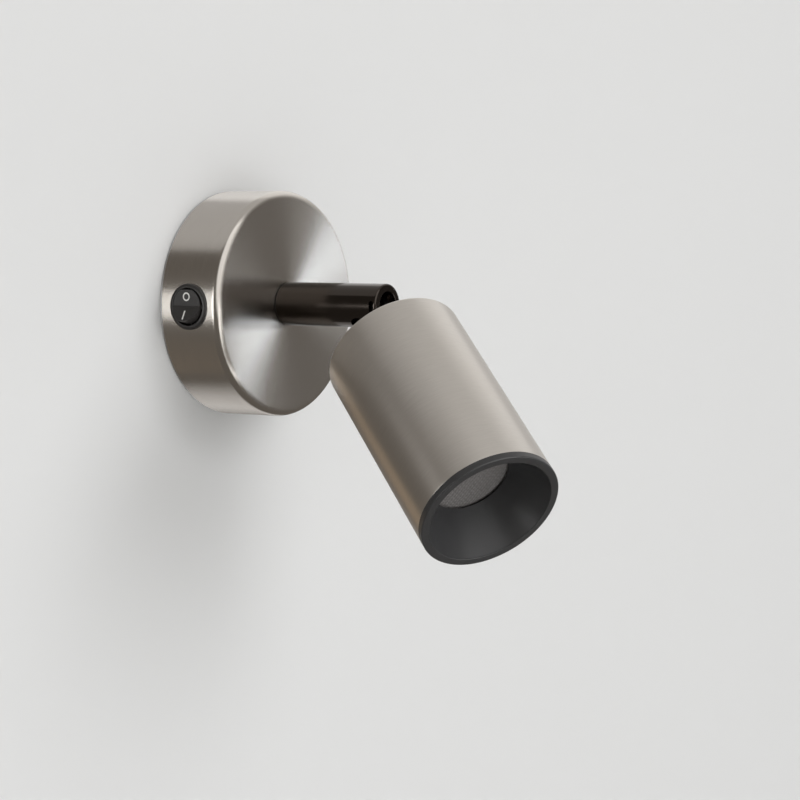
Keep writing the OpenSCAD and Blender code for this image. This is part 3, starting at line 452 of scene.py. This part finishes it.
def brushed(name, colour, origin, axis, slope, roughness, pitch=2600.0, streak=0.05):
    """Metal brushed in circles round an axis, as a blend of the same metal leaning as the grooves' sides do.

    The grooves are shallower on rounded edges, which catch the light as a narrow line.
    """
    finish = Finish(name)
    point = finish.place().vector("SUBTRACT", tuple(origin))
    along = point.dot(tuple(axis))
    axial = finish.scaled(tuple(axis), along)
    radial = point.vector("SUBTRACT", axial)
    radius = radial.vector("LENGTH", output="Value")
    outward = radial.vector("NORMALIZE")
    normal = finish.add("ShaderNodeTexCoord", output="Normal")
    run = outward.vector("CROSS_PRODUCT", tuple(axis))
    across = normal.vector("CROSS_PRODUCT", run).vector("NORMALIZE")
    rows = finish.add("ShaderNodeCombineXYZ", {}, {0: radius * pitch, 1: along * pitch, 2: 0.0})
    seen = finish.noise(rows.vector("ADD", finish.scaled(outward, 5.0)), 1.0, 3.0, 0.65) - 0.5
    band = finish.spread(seen, -0.22, 0.22, 0.0, 1.0)
    cloud = finish.noise(point, 28.0, 3.0)
    tone = finish.mix(band, shade(colour, 1 - streak), shade(colour, 1 + streak))
    warm = (colour[0] * 0.985, colour[1] * 0.975, colour[2] * 0.96, 1.0)
    tone = finish.mix(finish.spread(cloud, 0.35, 0.7, 0.0, 0.5), tone, warm)
    rough = finish.spread(band, 0.0, 1.0, roughness * 0.94, roughness * 1.06)
    tilt = normal.dot(tuple(axis))
    calm = finish.spread(tilt * (tilt * -1.0 + 1.0), 0.0, 0.25, 1.0, 0.25)
    blend, total = None, 0.0
    for lean, share in GROOVE_SIDES:
        tip = finish.scaled(across, (seen * 0.12 + lean * slope) * calm)
        tipped = normal.vector("ADD", tip).vector("NORMALIZE")
        facing = finish.add("ShaderNodeVectorTransform", {
            "vector_type": "NORMAL", "convert_from": "OBJECT", "convert_to": "WORLD"}, {0: tipped})
        side = finish.add("ShaderNodeBsdfPrincipled", {}, {
            "Base Color": tone, "Metallic": 1.0, "Roughness": rough, "Normal": facing})
        total += share
        if blend is None:
            blend = side
        else:
            blend = finish.add("ShaderNodeMixShader", {}, {0: share / total, 1: blend, 2: side})
    finish.join(finish.tree.nodes["Material Output"].inputs["Surface"], blend)
    finish.tree.nodes.remove(finish.shader)
    return finish.material


def polished(name, colour, roughness, fleck=0.12):
    """Plated metal with faint polishing clouds and hairlines."""
    finish = Finish(name, Metallic=1.0)
    point = finish.place()
    cloud = finish.noise(point, 60.0, 4.0, 0.6)
    hair = finish.noise(point.vector("MULTIPLY", (900.0, 40.0, 900.0)), 1.0, 2.0)
    finish.feed("Base Color", finish.mix(cloud, shade(colour, 1 - fleck), shade(colour, 1 + fleck)))
    finish.feed("Roughness", finish.spread(cloud + hair * 0.5, 0.5, 1.0, roughness * 0.8, roughness * 1.3))
    finish.feed("Normal", finish.bump(hair, 0.00001, 0.25))
    return finish.material


def grained(name, colour, roughness, grain, depth, fleck=0.08, metallic=0.0, **fixed):
    """Moulded, painted or cast stuff: a fine grain and a little unevenness in its tone."""
    finish = Finish(name, Metallic=metallic, **fixed)
    point = finish.place()
    fine = finish.noise(point, grain, 3.0, 0.6)
    cloud = finish.noise(point, grain * 0.04, 3.0)
    uneven = finish.spread(cloud * 0.7 + fine * 0.3, 0.35, 0.65, 0.0, 1.0)
    finish.feed("Base Color", finish.mix(uneven, shade(colour, 1 - fleck), shade(colour, 1 + fleck)))
    finish.feed("Roughness", finish.spread(fine, 0.3, 0.7, roughness * 0.9, roughness * 1.1))
    finish.feed("Normal", finish.bump(fine, depth * MM))
    return finish.material


def frosted(name, colour, origin, axis):
    """A lens pressed with rows of tiny domes under a frosted face, its colour painted with shade towards the rim
    and between the domes.
    """
    finish = Finish(name, IOR=1.49, Roughness=0.5)
    point = finish.place().vector("SUBTRACT", tuple(origin))
    cells = finish.add("ShaderNodeTexVoronoi", {"feature": "F1"}, {
        "Vector": point, "Scale": 760.0, "Randomness": 0.25})
    dust = finish.noise(point, 2400.0, 2.0)
    along = point.dot(tuple(axis))
    axial = finish.add("ShaderNodeVectorMath", {"operation": "SCALE"}, {0: tuple(axis), 3: along})
    radius = point.vector("SUBTRACT", axial).vector("LENGTH", output="Value")
    # Painted shade: the lens's colour darkens towards its rim, where the baffle's throat shades it
    rim_shade = finish.spread(radius, 0.0, 0.023, 1.0, 0.72)
    # Painted shade: the colour is lighter on the tops of the tiny domes and darker in the gaps between them
    tone = finish.mix(finish.spread(cells, 0.0, 0.6, 0.0, 1.0), shade(colour, 1.06), shade(colour, 0.8))
    finish.feed("Base Color", finish.mix(rim_shade, shade(colour, 0.62), tone))
    finish.feed("Roughness", finish.spread(dust, 0.3, 0.7, 0.38, 0.55))
    finish.feed("Normal", finish.bump(cells * -1.0 + dust * 0.15, 0.00035, 0.7))
    return finish.material


FINISHES = {}


def make_finishes(settings):
    """Makes every finish once, under its slot's name in the record."""
    canopy_top = (0, -CANOPY_OUT, 0)
    pivot = TILT["pos_m"]
    FINISHES.update({
        "brushed_nickel": brushed("brushed_nickel", settings.nickel, pivot, HEAD_AXIS, settings.brushing,
                                  0.3),
        "spun_nickel": brushed("spun_nickel", settings.nickel, canopy_top, (0, -1, 0), settings.spinning,
                               0.2),
        "black_nickel": polished("black_nickel", settings.black_nickel, 0.13, 0.05),
        "zinc_plate": polished("zinc_plate", (0.60, 0.61, 0.62), 0.32),
        "spring_steel": polished("spring_steel", (0.50, 0.50, 0.49), 0.28),
        "tinned_copper": polished("tinned_copper", (0.66, 0.65, 0.63), 0.35),
        "brass": polished("brass", (0.74, 0.56, 0.28), 0.27),
        "switch_plastic": grained("switch_plastic", settings.charcoal, 0.36, 2600.0, 0.012),
        "mark_white": grained("mark_white", (0.84, 0.83, 0.80), 0.42, 2600.0, 0.006, 0.03),
        "white_plastic": grained("white_plastic", (0.80, 0.79, 0.76), 0.38, 1800.0, 0.012, 0.03),
        "lamp_white": grained("lamp_white", (0.78, 0.77, 0.74), 0.45, 1500.0, 0.02, 0.04),
        "lens_frosted": frosted("lens_frosted", settings.lens, pivot, HEAD_AXIS),
        "nylon": grained("nylon", (0.020, 0.020, 0.021), 0.48, 1600.0, 0.02),
        "black_die_cast": grained("black_die_cast", (0.022, 0.021, 0.020), 0.52, 1300.0, 0.05, 0.15, 0.3),
        "black_paint": grained("black_paint", settings.baffle_paint, 0.38, 2200.0, 0.018, 0.06),
        "steatite": grained("steatite", (0.78, 0.74, 0.66), 0.62, 1700.0, 0.03, 0.05),
        "lead_blue": grained("lead_blue", (0.035, 0.10, 0.33), 0.45, 1800.0, 0.01),
        "lead_brown": grained("lead_brown", (0.13, 0.05, 0.02), 0.45, 1800.0, 0.01),
        "lead_green": grained("lead_green", (0.10, 0.30, 0.04), 0.45, 1800.0, 0.01),
        "lead_sleeved": grained("lead_sleeved", (0.33, 0.30, 0.26), 0.7, 1500.0, 0.05, 0.12),
    })


# One operator for each piece or group

class MakeCanopy(bpy.types.Operator):
    """Spin the canopy and drill it for the switch and the set screws."""
    bl_idname = "reading_lamp.canopy"
    bl_label = "Canopy"

    def execute(self, context):
        s = context.scene.lamp_canopy
        inner, inner_out = s.radius - s.wall, s.depth - s.wall
        outline = [(s.radius, s.foot), (s.radius, s.depth), (s.bush_hole, s.depth), (s.bush_hole, inner_out),
                   (inner, inner_out), (inner, s.foot)]
        shell = made("canopy_shell", turned(
            outline, [(1, s.edge, 14), (4, s.edge - s.wall, 6), (0, 0.25 * MM, 2)], steps=256))
        carve(shell, [
            bar((-s.radius * 1.2, -SWITCH_OUT, 0), (-s.radius * 0.6, -SWITCH_OUT, 0), s.switch_hole, 96),
            bar((0, -s.screw_out, s.radius * 0.8), (0, -s.screw_out, s.radius * 1.2), s.screw_hole, 48),
            bar((0, -s.screw_out, -s.radius * 1.2), (0, -s.screw_out, -s.radius * 0.8), s.screw_hole, 48)])
        dress(shell, FINISHES["spun_nickel"], "wall_mount", "canopy", slot="brushed_nickel")
        return {"FINISHED"}


class MakeSwitch(bpy.types.Operator):
    """Mould the switch: flange, body, rocker and its off and on marks."""
    bl_idname = "reading_lamp.switch"
    bl_label = "Switch"

    def execute(self, context):
        s = context.scene.lamp_switch
        plastic = FINISHES["switch_plastic"]
        self.flange(s, plastic)
        self.body(s, plastic)
        self.rocker(s, plastic)
        self.marks(s)
        return {"FINISHED"}

    def flange(self, s, plastic):
        low = -1.4 * MM
        outline = [(s.well, low), (s.well, s.proud - 0.1 * MM), (s.well + 0.45 * MM, s.proud),
                   (s.flange - 0.75 * MM, s.proud - 0.12 * MM), (s.flange, s.proud - 0.6 * MM),
                   (s.flange, low)]
        ring = made("switch_flange", turned(outline, [(1, 0.18 * MM, 3), (2, 0.2 * MM, 3), (3, 0.4 * MM, 4),
                                                      (4, 0.25 * MM, 3)], steps=128), SWITCH_TURNED)
        carve(ring, [bar((0, -SWITCH_OUT - 0.02, 0), (0, -SWITCH_OUT + 0.02, 0), CANOPY_R, 256)])
        dress(ring, plastic, "wall_mount", "switch_housing")

    def body(self, s, plastic):
        floor = -PRESS_IN - 5 * MM
        top = 0.2 * MM
        outline = [(0, floor), (s.well, floor), (s.well, top), (s.body, top), (s.body, -s.body_depth),
                   (0, -s.body_depth)]
        bm = turned(outline, [(4, 0.6 * MM, 3)], steps=96, closed=False)
        for side in (-1, 1):
            joined(bm, brick((side * (s.body - 0.5 * MM), 1.8 * MM, -2.5 * MM),
                             (side * (s.body + 0.9 * MM), 4.8 * MM, 2.5 * MM)))
        cup = made("switch_body", bm, SWITCH_TURNED @ Matrix.Rotation(pi / 2, 4, "Y"))
        dress(cup, plastic, "wall_mount", "switch_housing")

    def rocker(self, s, plastic):
        valley, foot, rise = 2.0 * MM, -3.0 * MM, tan(ROCKER_HALF)
        bm = bmesh.new()
        bmesh.ops.create_circle(bm, cap_ends=True, segments=96, radius=s.rocker)
        bmesh.ops.translate(bm, verts=bm.verts, vec=(0, 0, foot))
        bmesh.ops.bisect_plane(bm, geom=bm.verts[:] + bm.edges[:] + bm.faces[:], plane_co=(0, 0, 0),
                               plane_no=(1, 0, 0))
        top = bmesh.ops.extrude_face_region(bm, geom=bm.faces[:])["geom"]
        for v in (g for g in top if isinstance(g, bmesh.types.BMVert)):
            v.co.z = valley + abs(v.co.x) * rise
        key = made("rocker_key", bm, ROCKER)
        centre = ROCKER.translation
        reach = Vector((0, 0.02, 0))
        carve(key, [bar(centre - reach, centre + reach, 7.62 * MM, 192)], "INTERSECT")
        soften(key, s.rocker_edge, 3, 20)
        pins = made("rocker_pins", bar((0, -8.9 * MM, 0), (0, 8.9 * MM, 0), 1.2 * MM, 32), ROCKER)
        carve(key, [self.taken(pins)], "UNION")
        dress(key, plastic, "rocker", "switch_rocker")

    def taken(self, piece):
        """A bmesh of a piece, which is then removed."""
        bm = bmesh.new()
        bm.from_mesh(piece.data)
        bpy.data.objects.remove(piece)
        return bm

    def marks(self, s):
        deep, proud = -0.25 * MM, 0.035 * MM
        white = FINISHES["mark_white"]
        upper = ROCKER @ Matrix.Translation((0, 0, 2 * MM)) @ Matrix.Rotation(-ROCKER_HALF, 4, "Y")
        lower = ROCKER @ Matrix.Translation((0, 0, 2 * MM)) @ Matrix.Rotation(ROCKER_HALF, 4, "Y")
        inside = s.ring - s.stroke
        outline = [(s.ring, deep), (s.ring, proud), (inside, proud), (inside, deep)]
        ring = turned(outline, [(1, 0.03 * MM, 2), (2, 0.03 * MM, 2)], steps=64)
        off = made("mark_off", ring,
                   upper @ Matrix.Translation((3.9 * MM, 0, 0)) @ Matrix.Rotation(-pi / 2, 4, "X"))
        dress(off, white, "rocker", "rocker_marks")
        middle, half = -4.4 * MM, s.bar / 2
        stroke = brick((middle - half, -s.bar_width / 2, deep), (middle + half, s.bar_width / 2, proud))
        on = made("mark_on", stroke, lower)
        soften(on, 0.03 * MM, 2)
        dress(on, white, "rocker", "rocker_marks")


class MakeArm(bpy.types.Operator):
    """Turn the arm's tube, and mill its slot and its lock windows."""
    bl_idname = "reading_lamp.arm"
    bl_label = "Arm"

    def execute(self, context):
        s = context.scene.lamp_arm
        lip_out = s.end - s.lip_depth
        outline = [(s.radius, s.base), (s.radius, s.end), (s.lip, s.end), (s.lip, lip_out), (s.bore, lip_out),
                   (s.bore, s.base)]
        rounds = [(1, s.edge, 8), (2, 0.3 * MM, 3), (0, 0.15 * MM, 2)]
        tube = made("arm_sleeve", turned(outline, rounds, steps=192))
        deep = 2 * s.radius
        cutters = [bar((0, -PIVOT_OUT, -deep), (0, -PIVOT_OUT, 0), s.slot, 64),
                   brick((-s.slot, -s.end - deep, -deep), (s.slot, -PIVOT_OUT, 0))]
        for side in (-1, 1):
            turn = Matrix.Rotation(side * radians(60), 4, "Y")
            shapes = [bar((end * s.window_run, -s.window_out, -deep), (end * s.window_run, -s.window_out, 0),
                          s.window, 32) for end in (-1, 1)]
            shapes.append(brick((-s.window_run, -s.window_out - s.window, -deep),
                                (s.window_run, -s.window_out + s.window, 0)))
            for shape in shapes:
                bmesh.ops.transform(shape, matrix=turn, verts=shape.verts)
            cutters += shapes
        carve(tube, cutters)
        tube.data.transform(ARM)
        dress(tube, FINISHES["black_nickel"], "arm", "arm_tube")
        return {"FINISHED"}


class MakeHead(bpy.types.Operator):
    """Turn the head's tube and the neck's collar."""
    bl_idname = "reading_lamp.head"
    bl_label = "Head"

    def execute(self, context):
        s = context.scene.lamp_head
        inner, floor = s.radius - s.wall, s.back + s.wall
        outline = [(s.nipple_hole, s.back), (s.radius, s.back), (s.radius, s.front), (inner, s.front),
                   (inner, floor), (s.nipple_hole, floor)]
        rounds = [(1, s.edge, 8), (2, 0.15 * MM, 2), (3, 0.15 * MM, 2)]
        tube = made("head_tube", turned(outline, rounds, steps=256), HEAD)
        dress(tube, FINISHES["brushed_nickel"], "head", "head_shell")
        low = s.back - s.collar_height
        outline = [(5 * MM, low), (s.collar, low), (s.collar, s.back), (5 * MM, s.back)]
        collar = made("collar", turned(outline, [(1, 0.4 * MM, 4), (2, 0.5 * MM, 4)], steps=128), HEAD)
        dress(collar, FINISHES["black_nickel"], "head", "neck_collar")
        return {"FINISHED"}


class MakeBaffle(bpy.types.Operator):
    """Turn the baffle's band, cone and skirt, and the lens behind its throat."""
    bl_idname = "reading_lamp.baffle"
    bl_label = "Baffle and Lens"

    def execute(self, context):
        s = context.scene.lamp_head
        mouth_out = s.front + s.band
        skirt = s.radius - s.wall - 0.3 * MM
        wall = 1.6 * MM
        skirt_in, skirt_from = skirt - wall, s.front - 14 * MM
        outline = [(s.radius, s.front), (s.radius, mouth_out), (s.mouth, mouth_out),
                   (s.mouth, mouth_out - 0.6 * MM), (s.throat, s.throat_out),
                   (s.throat + wall, s.throat_out), (skirt_in, s.front - wall),
                   (skirt_in, skirt_from), (skirt, skirt_from), (skirt, s.front)]
        rounds = [(1, 0.5 * MM, 6), (2, 0.3 * MM, 4), (4, 0.2 * MM, 3)]
        ring = made("baffle_ring", turned(outline, rounds, steps=192))
        seat = skirt - 0.45 * wall
        notches = []
        for i in range(3):
            notch = brick((-2.5 * MM, -skirt_from - 9.3 * MM, seat),
                          (2.5 * MM, -s.throat_out + wall, s.radius))
            turn = Matrix.Rotation(2 * pi / 3 * i, 3, "Y")
            bmesh.ops.rotate(notch, cent=(0, 0, 0), matrix=turn, verts=notch.verts)
            notches.append(notch)
        carve(ring, notches)
        ring.data.transform(HEAD)
        dress(ring, FINISHES["black_paint"], "baffle", "baffle")
        crown = [(0, s.lens_out)]
        crown += [(s.lens * t, s.lens_out - s.lens_crown * t * t) for t in (0.25, 0.5, 0.75)]
        outline = [(0, s.lens_out - s.lens_depth), (s.lens, s.lens_out - s.lens_depth),
                   (s.lens, s.lens_out - s.lens_crown), *reversed(crown)]
        glass = made("lens", turned(outline, [(2, 0.2 * MM, 2)], steps=128, closed=False), HEAD)
        dress(glass, FINISHES["lens_frosted"], "lamp", "lamp_lens")
        return {"FINISHED"}


# The small parts that show past the others, at rest or as the lamp moves, and their names in the scene
SMALL_PARTS = {
    "mounting_plate": "wall_plate", "canopy_screws": "set_screws", "arm_bush": "bush", "joint_yoke": "yoke",
    "pivot_screws": "tilt_screws", "friction_washers": "tilt_washers", "knuckle": "neck",
    "lamp_body": "reflector_lamp",
    "lamp_pins": "lamp_pegs", "baffle_springs": "grip_springs", "lampholder": "holder",
}


class MakeSmallParts(bpy.types.Operator):
    """Join up and smooth the small parts that show, and finish all the rest where they are."""
    bl_idname = "reading_lamp.small_parts"
    bl_label = "Small Parts"

    def execute(self, context):
        for node, name in SMALL_PARTS.items():
            dress(welded_copy(node, name), FINISHES[SLOT[node]], BODY[node], node)
        for node, source in frame["nodes"].items():
            if not source.hide_render:
                source.material_slots[0].material = FINISHES[SLOT[node]]
        return {"FINISHED"}


class MakeFinishes(bpy.types.Operator):
    """Mix every finish of the lamp."""
    bl_idname = "reading_lamp.finishes"
    bl_label = "Finishes"

    def execute(self, context):
        for material in list(bpy.data.materials):
            if material.name in {m["slot"] for m in frame["record"]["materials"]}:
                material.name = material.name + "_cad"
        make_finishes(context.scene.lamp_finishes)
        return {"FINISHED"}


# The studio. Each light has its azimuth and elevation in degrees as seen from the lamp, its
# radius, its radiance and its colour. The room's lights act on matt surfaces only, and the panels are only
# seen in reflections.
LIT_POINT = Vector((-0.02, -0.08, -0.03))
ROOM_AWAY, PANEL_AWAY = 4.0, 1.6
PLAIN, COOL, WARM = (1.0, 1.0, 1.0), (0.92, 1.0, 1.1), (1.4, 1.0, 0.6)
ROOM_LIGHTS = {
    "key": (5, 20, 2.0, 2.7, PLAIN),
    "low_fill": (-20, -20, 2.0, 1.5, PLAIN),
}
PANELS = {
    "left_fan": (38, -8, 0.2, 4.0, COOL),
    "right_fan": (75, 5, 0.2, 2.0, COOL),
    "switch_band": (-110, 0, 0.4, 3.5, PLAIN),
    "front_wash": (0, -20, 0.6, 3.0, PLAIN),
    "upper_left": (-25, 30, 1.2, 1.0, PLAIN),
    "overhead": (130, 70, 2.0, 0.4, PLAIN),
    "right_side": (100, 25, 1.2, 0.5, PLAIN),
    "back_low": (140, -40, 0.6, 0.6, PLAIN),
    "warm_edge": (175, -20, 0.3, 0.3, WARM),
}


class MakeStage(bpy.types.Operator):
    """Set up the wall, the floor, the soft lights and the camera."""
    bl_idname = "reading_lamp.stage"
    bl_label = "Stage"

    def execute(self, context):
        s = context.scene.lamp_stage
        self.wall(s)
        self.floor(s)
        for name, values in ROOM_LIGHTS.items():
            self.light(name, ROOM_AWAY, *values).visible_glossy = False
        for name, values in PANELS.items():
            self.light(name, PANEL_AWAY, *values).visible_diffuse = False
        self.world()
        self.camera(s)
        context.scene.view_settings.view_transform = "Standard"
        return {"FINISHED"}

    def wall(self, s):
        """A wall that shows from the room's side, open behind the canopy."""
        bm = bmesh.new()
        bmesh.ops.create_circle(bm, cap_ends=False, segments=96, radius=CANOPY_R * 0.96)
        rim = bm.edges[:]
        far = bmesh.ops.extrude_edge_only(bm, edges=rim)["geom"]
        verts = [g for g in far if isinstance(g, bmesh.types.BMVert)]
        bmesh.ops.scale(bm, vec=(130, 130, 1), verts=verts)
        bmesh.ops.rotate(bm, cent=(0, 0, 0), matrix=Matrix.Rotation(pi / 2, 3, "X"), verts=bm.verts)
        bmesh.ops.translate(bm, verts=bm.verts, vec=(0, 0.0002, 0))
        for face in bm.faces:
            face.normal_update()
            if face.normal.y > 0:
                face.normal_flip()
        mesh = bpy.data.meshes.new("wall")
        bm.to_mesh(mesh)
        bm.free()
        wall = link("wall", mesh)
        paint = Finish("wall_paint", Roughness=0.9)
        grain = paint.noise(paint.place(), 160.0, 4.0)
        cloud = paint.noise(paint.place(), 1.6, 2.0)
        paint.feed("Base Color", paint.mix(cloud, shade(s.wall_tone, 0.995), shade(s.wall_tone, 1.005)))
        paint.feed("Normal", paint.bump(grain, 0.0001, 0.15))
        back = paint.add("ShaderNodeNewGeometry", output="Backfacing")
        clear = paint.add("ShaderNodeBsdfTransparent")
        front = Sock(paint, paint.shader.outputs[0])
        both = paint.add("ShaderNodeMixShader", {}, {0: back, 1: front, 2: clear})
        paint.join(paint.tree.nodes["Material Output"].inputs["Surface"], both)
        wall.data.materials.append(paint.material)
        wall.visible_glossy = False
        wall.visible_shadow = False

    def floor(self, s):
        bm = bmesh.new()
        bmesh.ops.create_grid(bm, x_segments=1, y_segments=1, size=6)
        bmesh.ops.translate(bm, verts=bm.verts, vec=(0, 0, -s.floor_drop))
        floor = made("floor", bm)
        paint = Finish("floor_paint", Roughness=0.85)
        cloud = paint.noise(paint.place(), 2.0, 3.0)
        paint.feed("Base Color", paint.mix(cloud, shade(s.wall_tone, 0.98), shade(s.wall_tone, 1.0)))
        floor.data.materials.append(paint.material)
        floor.visible_glossy = False
        floor.visible_shadow = False

    def light(self, name, away, azimuth, elevation, radius, radiance, colour):
        """A round soft light that faces the lamp."""
        a, e = radians(azimuth), radians(elevation)
        aim = Vector((sin(a) * cos(e), -cos(a) * cos(e), sin(e)))
        data = bpy.data.lights.new(name, "AREA")
        data.shape, data.size, data.color = "DISK", 2 * radius, colour
        data.energy = radiance * (pi * radius) ** 2
        light = bpy.data.objects.new(name, data)
        bpy.context.scene.collection.objects.link(light)
        light.location = LIT_POINT + aim * away
        light.rotation_mode = "QUATERNION"
        light.rotation_quaternion = aim.to_track_quat("Z", "Y")
        light.visible_camera = False
        return light

    def world(self):
        world = bpy.data.worlds.new("studio")
        bpy.context.scene.world = world
        world.use_nodes = True
        sky = world.node_tree.nodes["Background"]
        sky.inputs["Color"].default_value = (1.0, 0.9, 0.8, 1)
        sky.inputs["Strength"].default_value = 0.15

    def camera(self, s):
        """The camera, placed by where the canopy's face is seen in the picture."""
        a, e = s.azimuth, s.elevation
        back = Vector((sin(a) * cos(e), -cos(a) * cos(e), sin(e)))
        level = (-back).cross(Vector((0, 0, 1))).normalized()
        upright = level.cross(-back)
        right = level * cos(s.roll) + upright * sin(s.roll)
        up = upright * cos(s.roll) - level * sin(s.roll)
        data = bpy.data.cameras.new("camera")
        data.lens, data.sensor_width = s.lens, 36
        data.clip_start, data.clip_end = 0.05, 50
        camera = bpy.data.objects.new("camera", data)
        bpy.context.scene.collection.objects.link(camera)
        face = Vector((0, -CANOPY_OUT, 0))
        camera.location = face + back * s.away - right * s.right - up * s.up
        camera.rotation_mode = "QUATERNION"
        camera.rotation_quaternion = Matrix((right, up, back)).transposed().to_quaternion()
        bpy.context.scene.camera = camera


class ReadingLampPanel(bpy.types.Panel):
    """The lamp's pieces, sizes and finishes."""
    bl_idname = "VIEW3D_PT_reading_lamp"
    bl_label = "Reading Lamp"
    bl_space_type = "VIEW_3D"
    bl_region_type = "UI"
    bl_category = "Reading Lamp"

    def draw(self, context):
        for group in SETTINGS:
            box = self.layout.box()
            settings = getattr(context.scene, group)
            for prop in SETTINGS[group].__annotations__:
                box.prop(settings, prop)
        for step in OPERATORS:
            self.layout.operator(step.bl_idname)


SETTINGS = {
    "lamp_canopy": CanopySettings, "lamp_switch": SwitchSettings, "lamp_arm": ArmSettings,
    "lamp_head": HeadSettings, "lamp_finishes": FinishSettings, "lamp_stage": StageSettings,
}
OPERATORS = [MakeFinishes, MakeCanopy, MakeSwitch, MakeArm, MakeHead, MakeBaffle, MakeSmallParts, MakeStage]


def register():
    for cls in [*SETTINGS.values(), *OPERATORS, ReadingLampPanel]:
        bpy.utils.register_class(cls)
    for name, cls in SETTINGS.items():
        setattr(bpy.types.Scene, name, PointerProperty(type=cls))


def unregister():
    for name in SETTINGS:
        delattr(bpy.types.Scene, name)
    for cls in reversed([*SETTINGS.values(), *OPERATORS, ReadingLampPanel]):
        bpy.utils.unregister_class(cls)


def main():
    register()
    bpy.ops.reading_lamp.finishes()
    bpy.ops.reading_lamp.canopy()
    bpy.ops.reading_lamp.switch()
    bpy.ops.reading_lamp.arm()
    bpy.ops.reading_lamp.head()
    bpy.ops.reading_lamp.baffle()
    bpy.ops.reading_lamp.small_parts()
    bpy.ops.reading_lamp.stage()


if __name__ == "__main__":
    main()
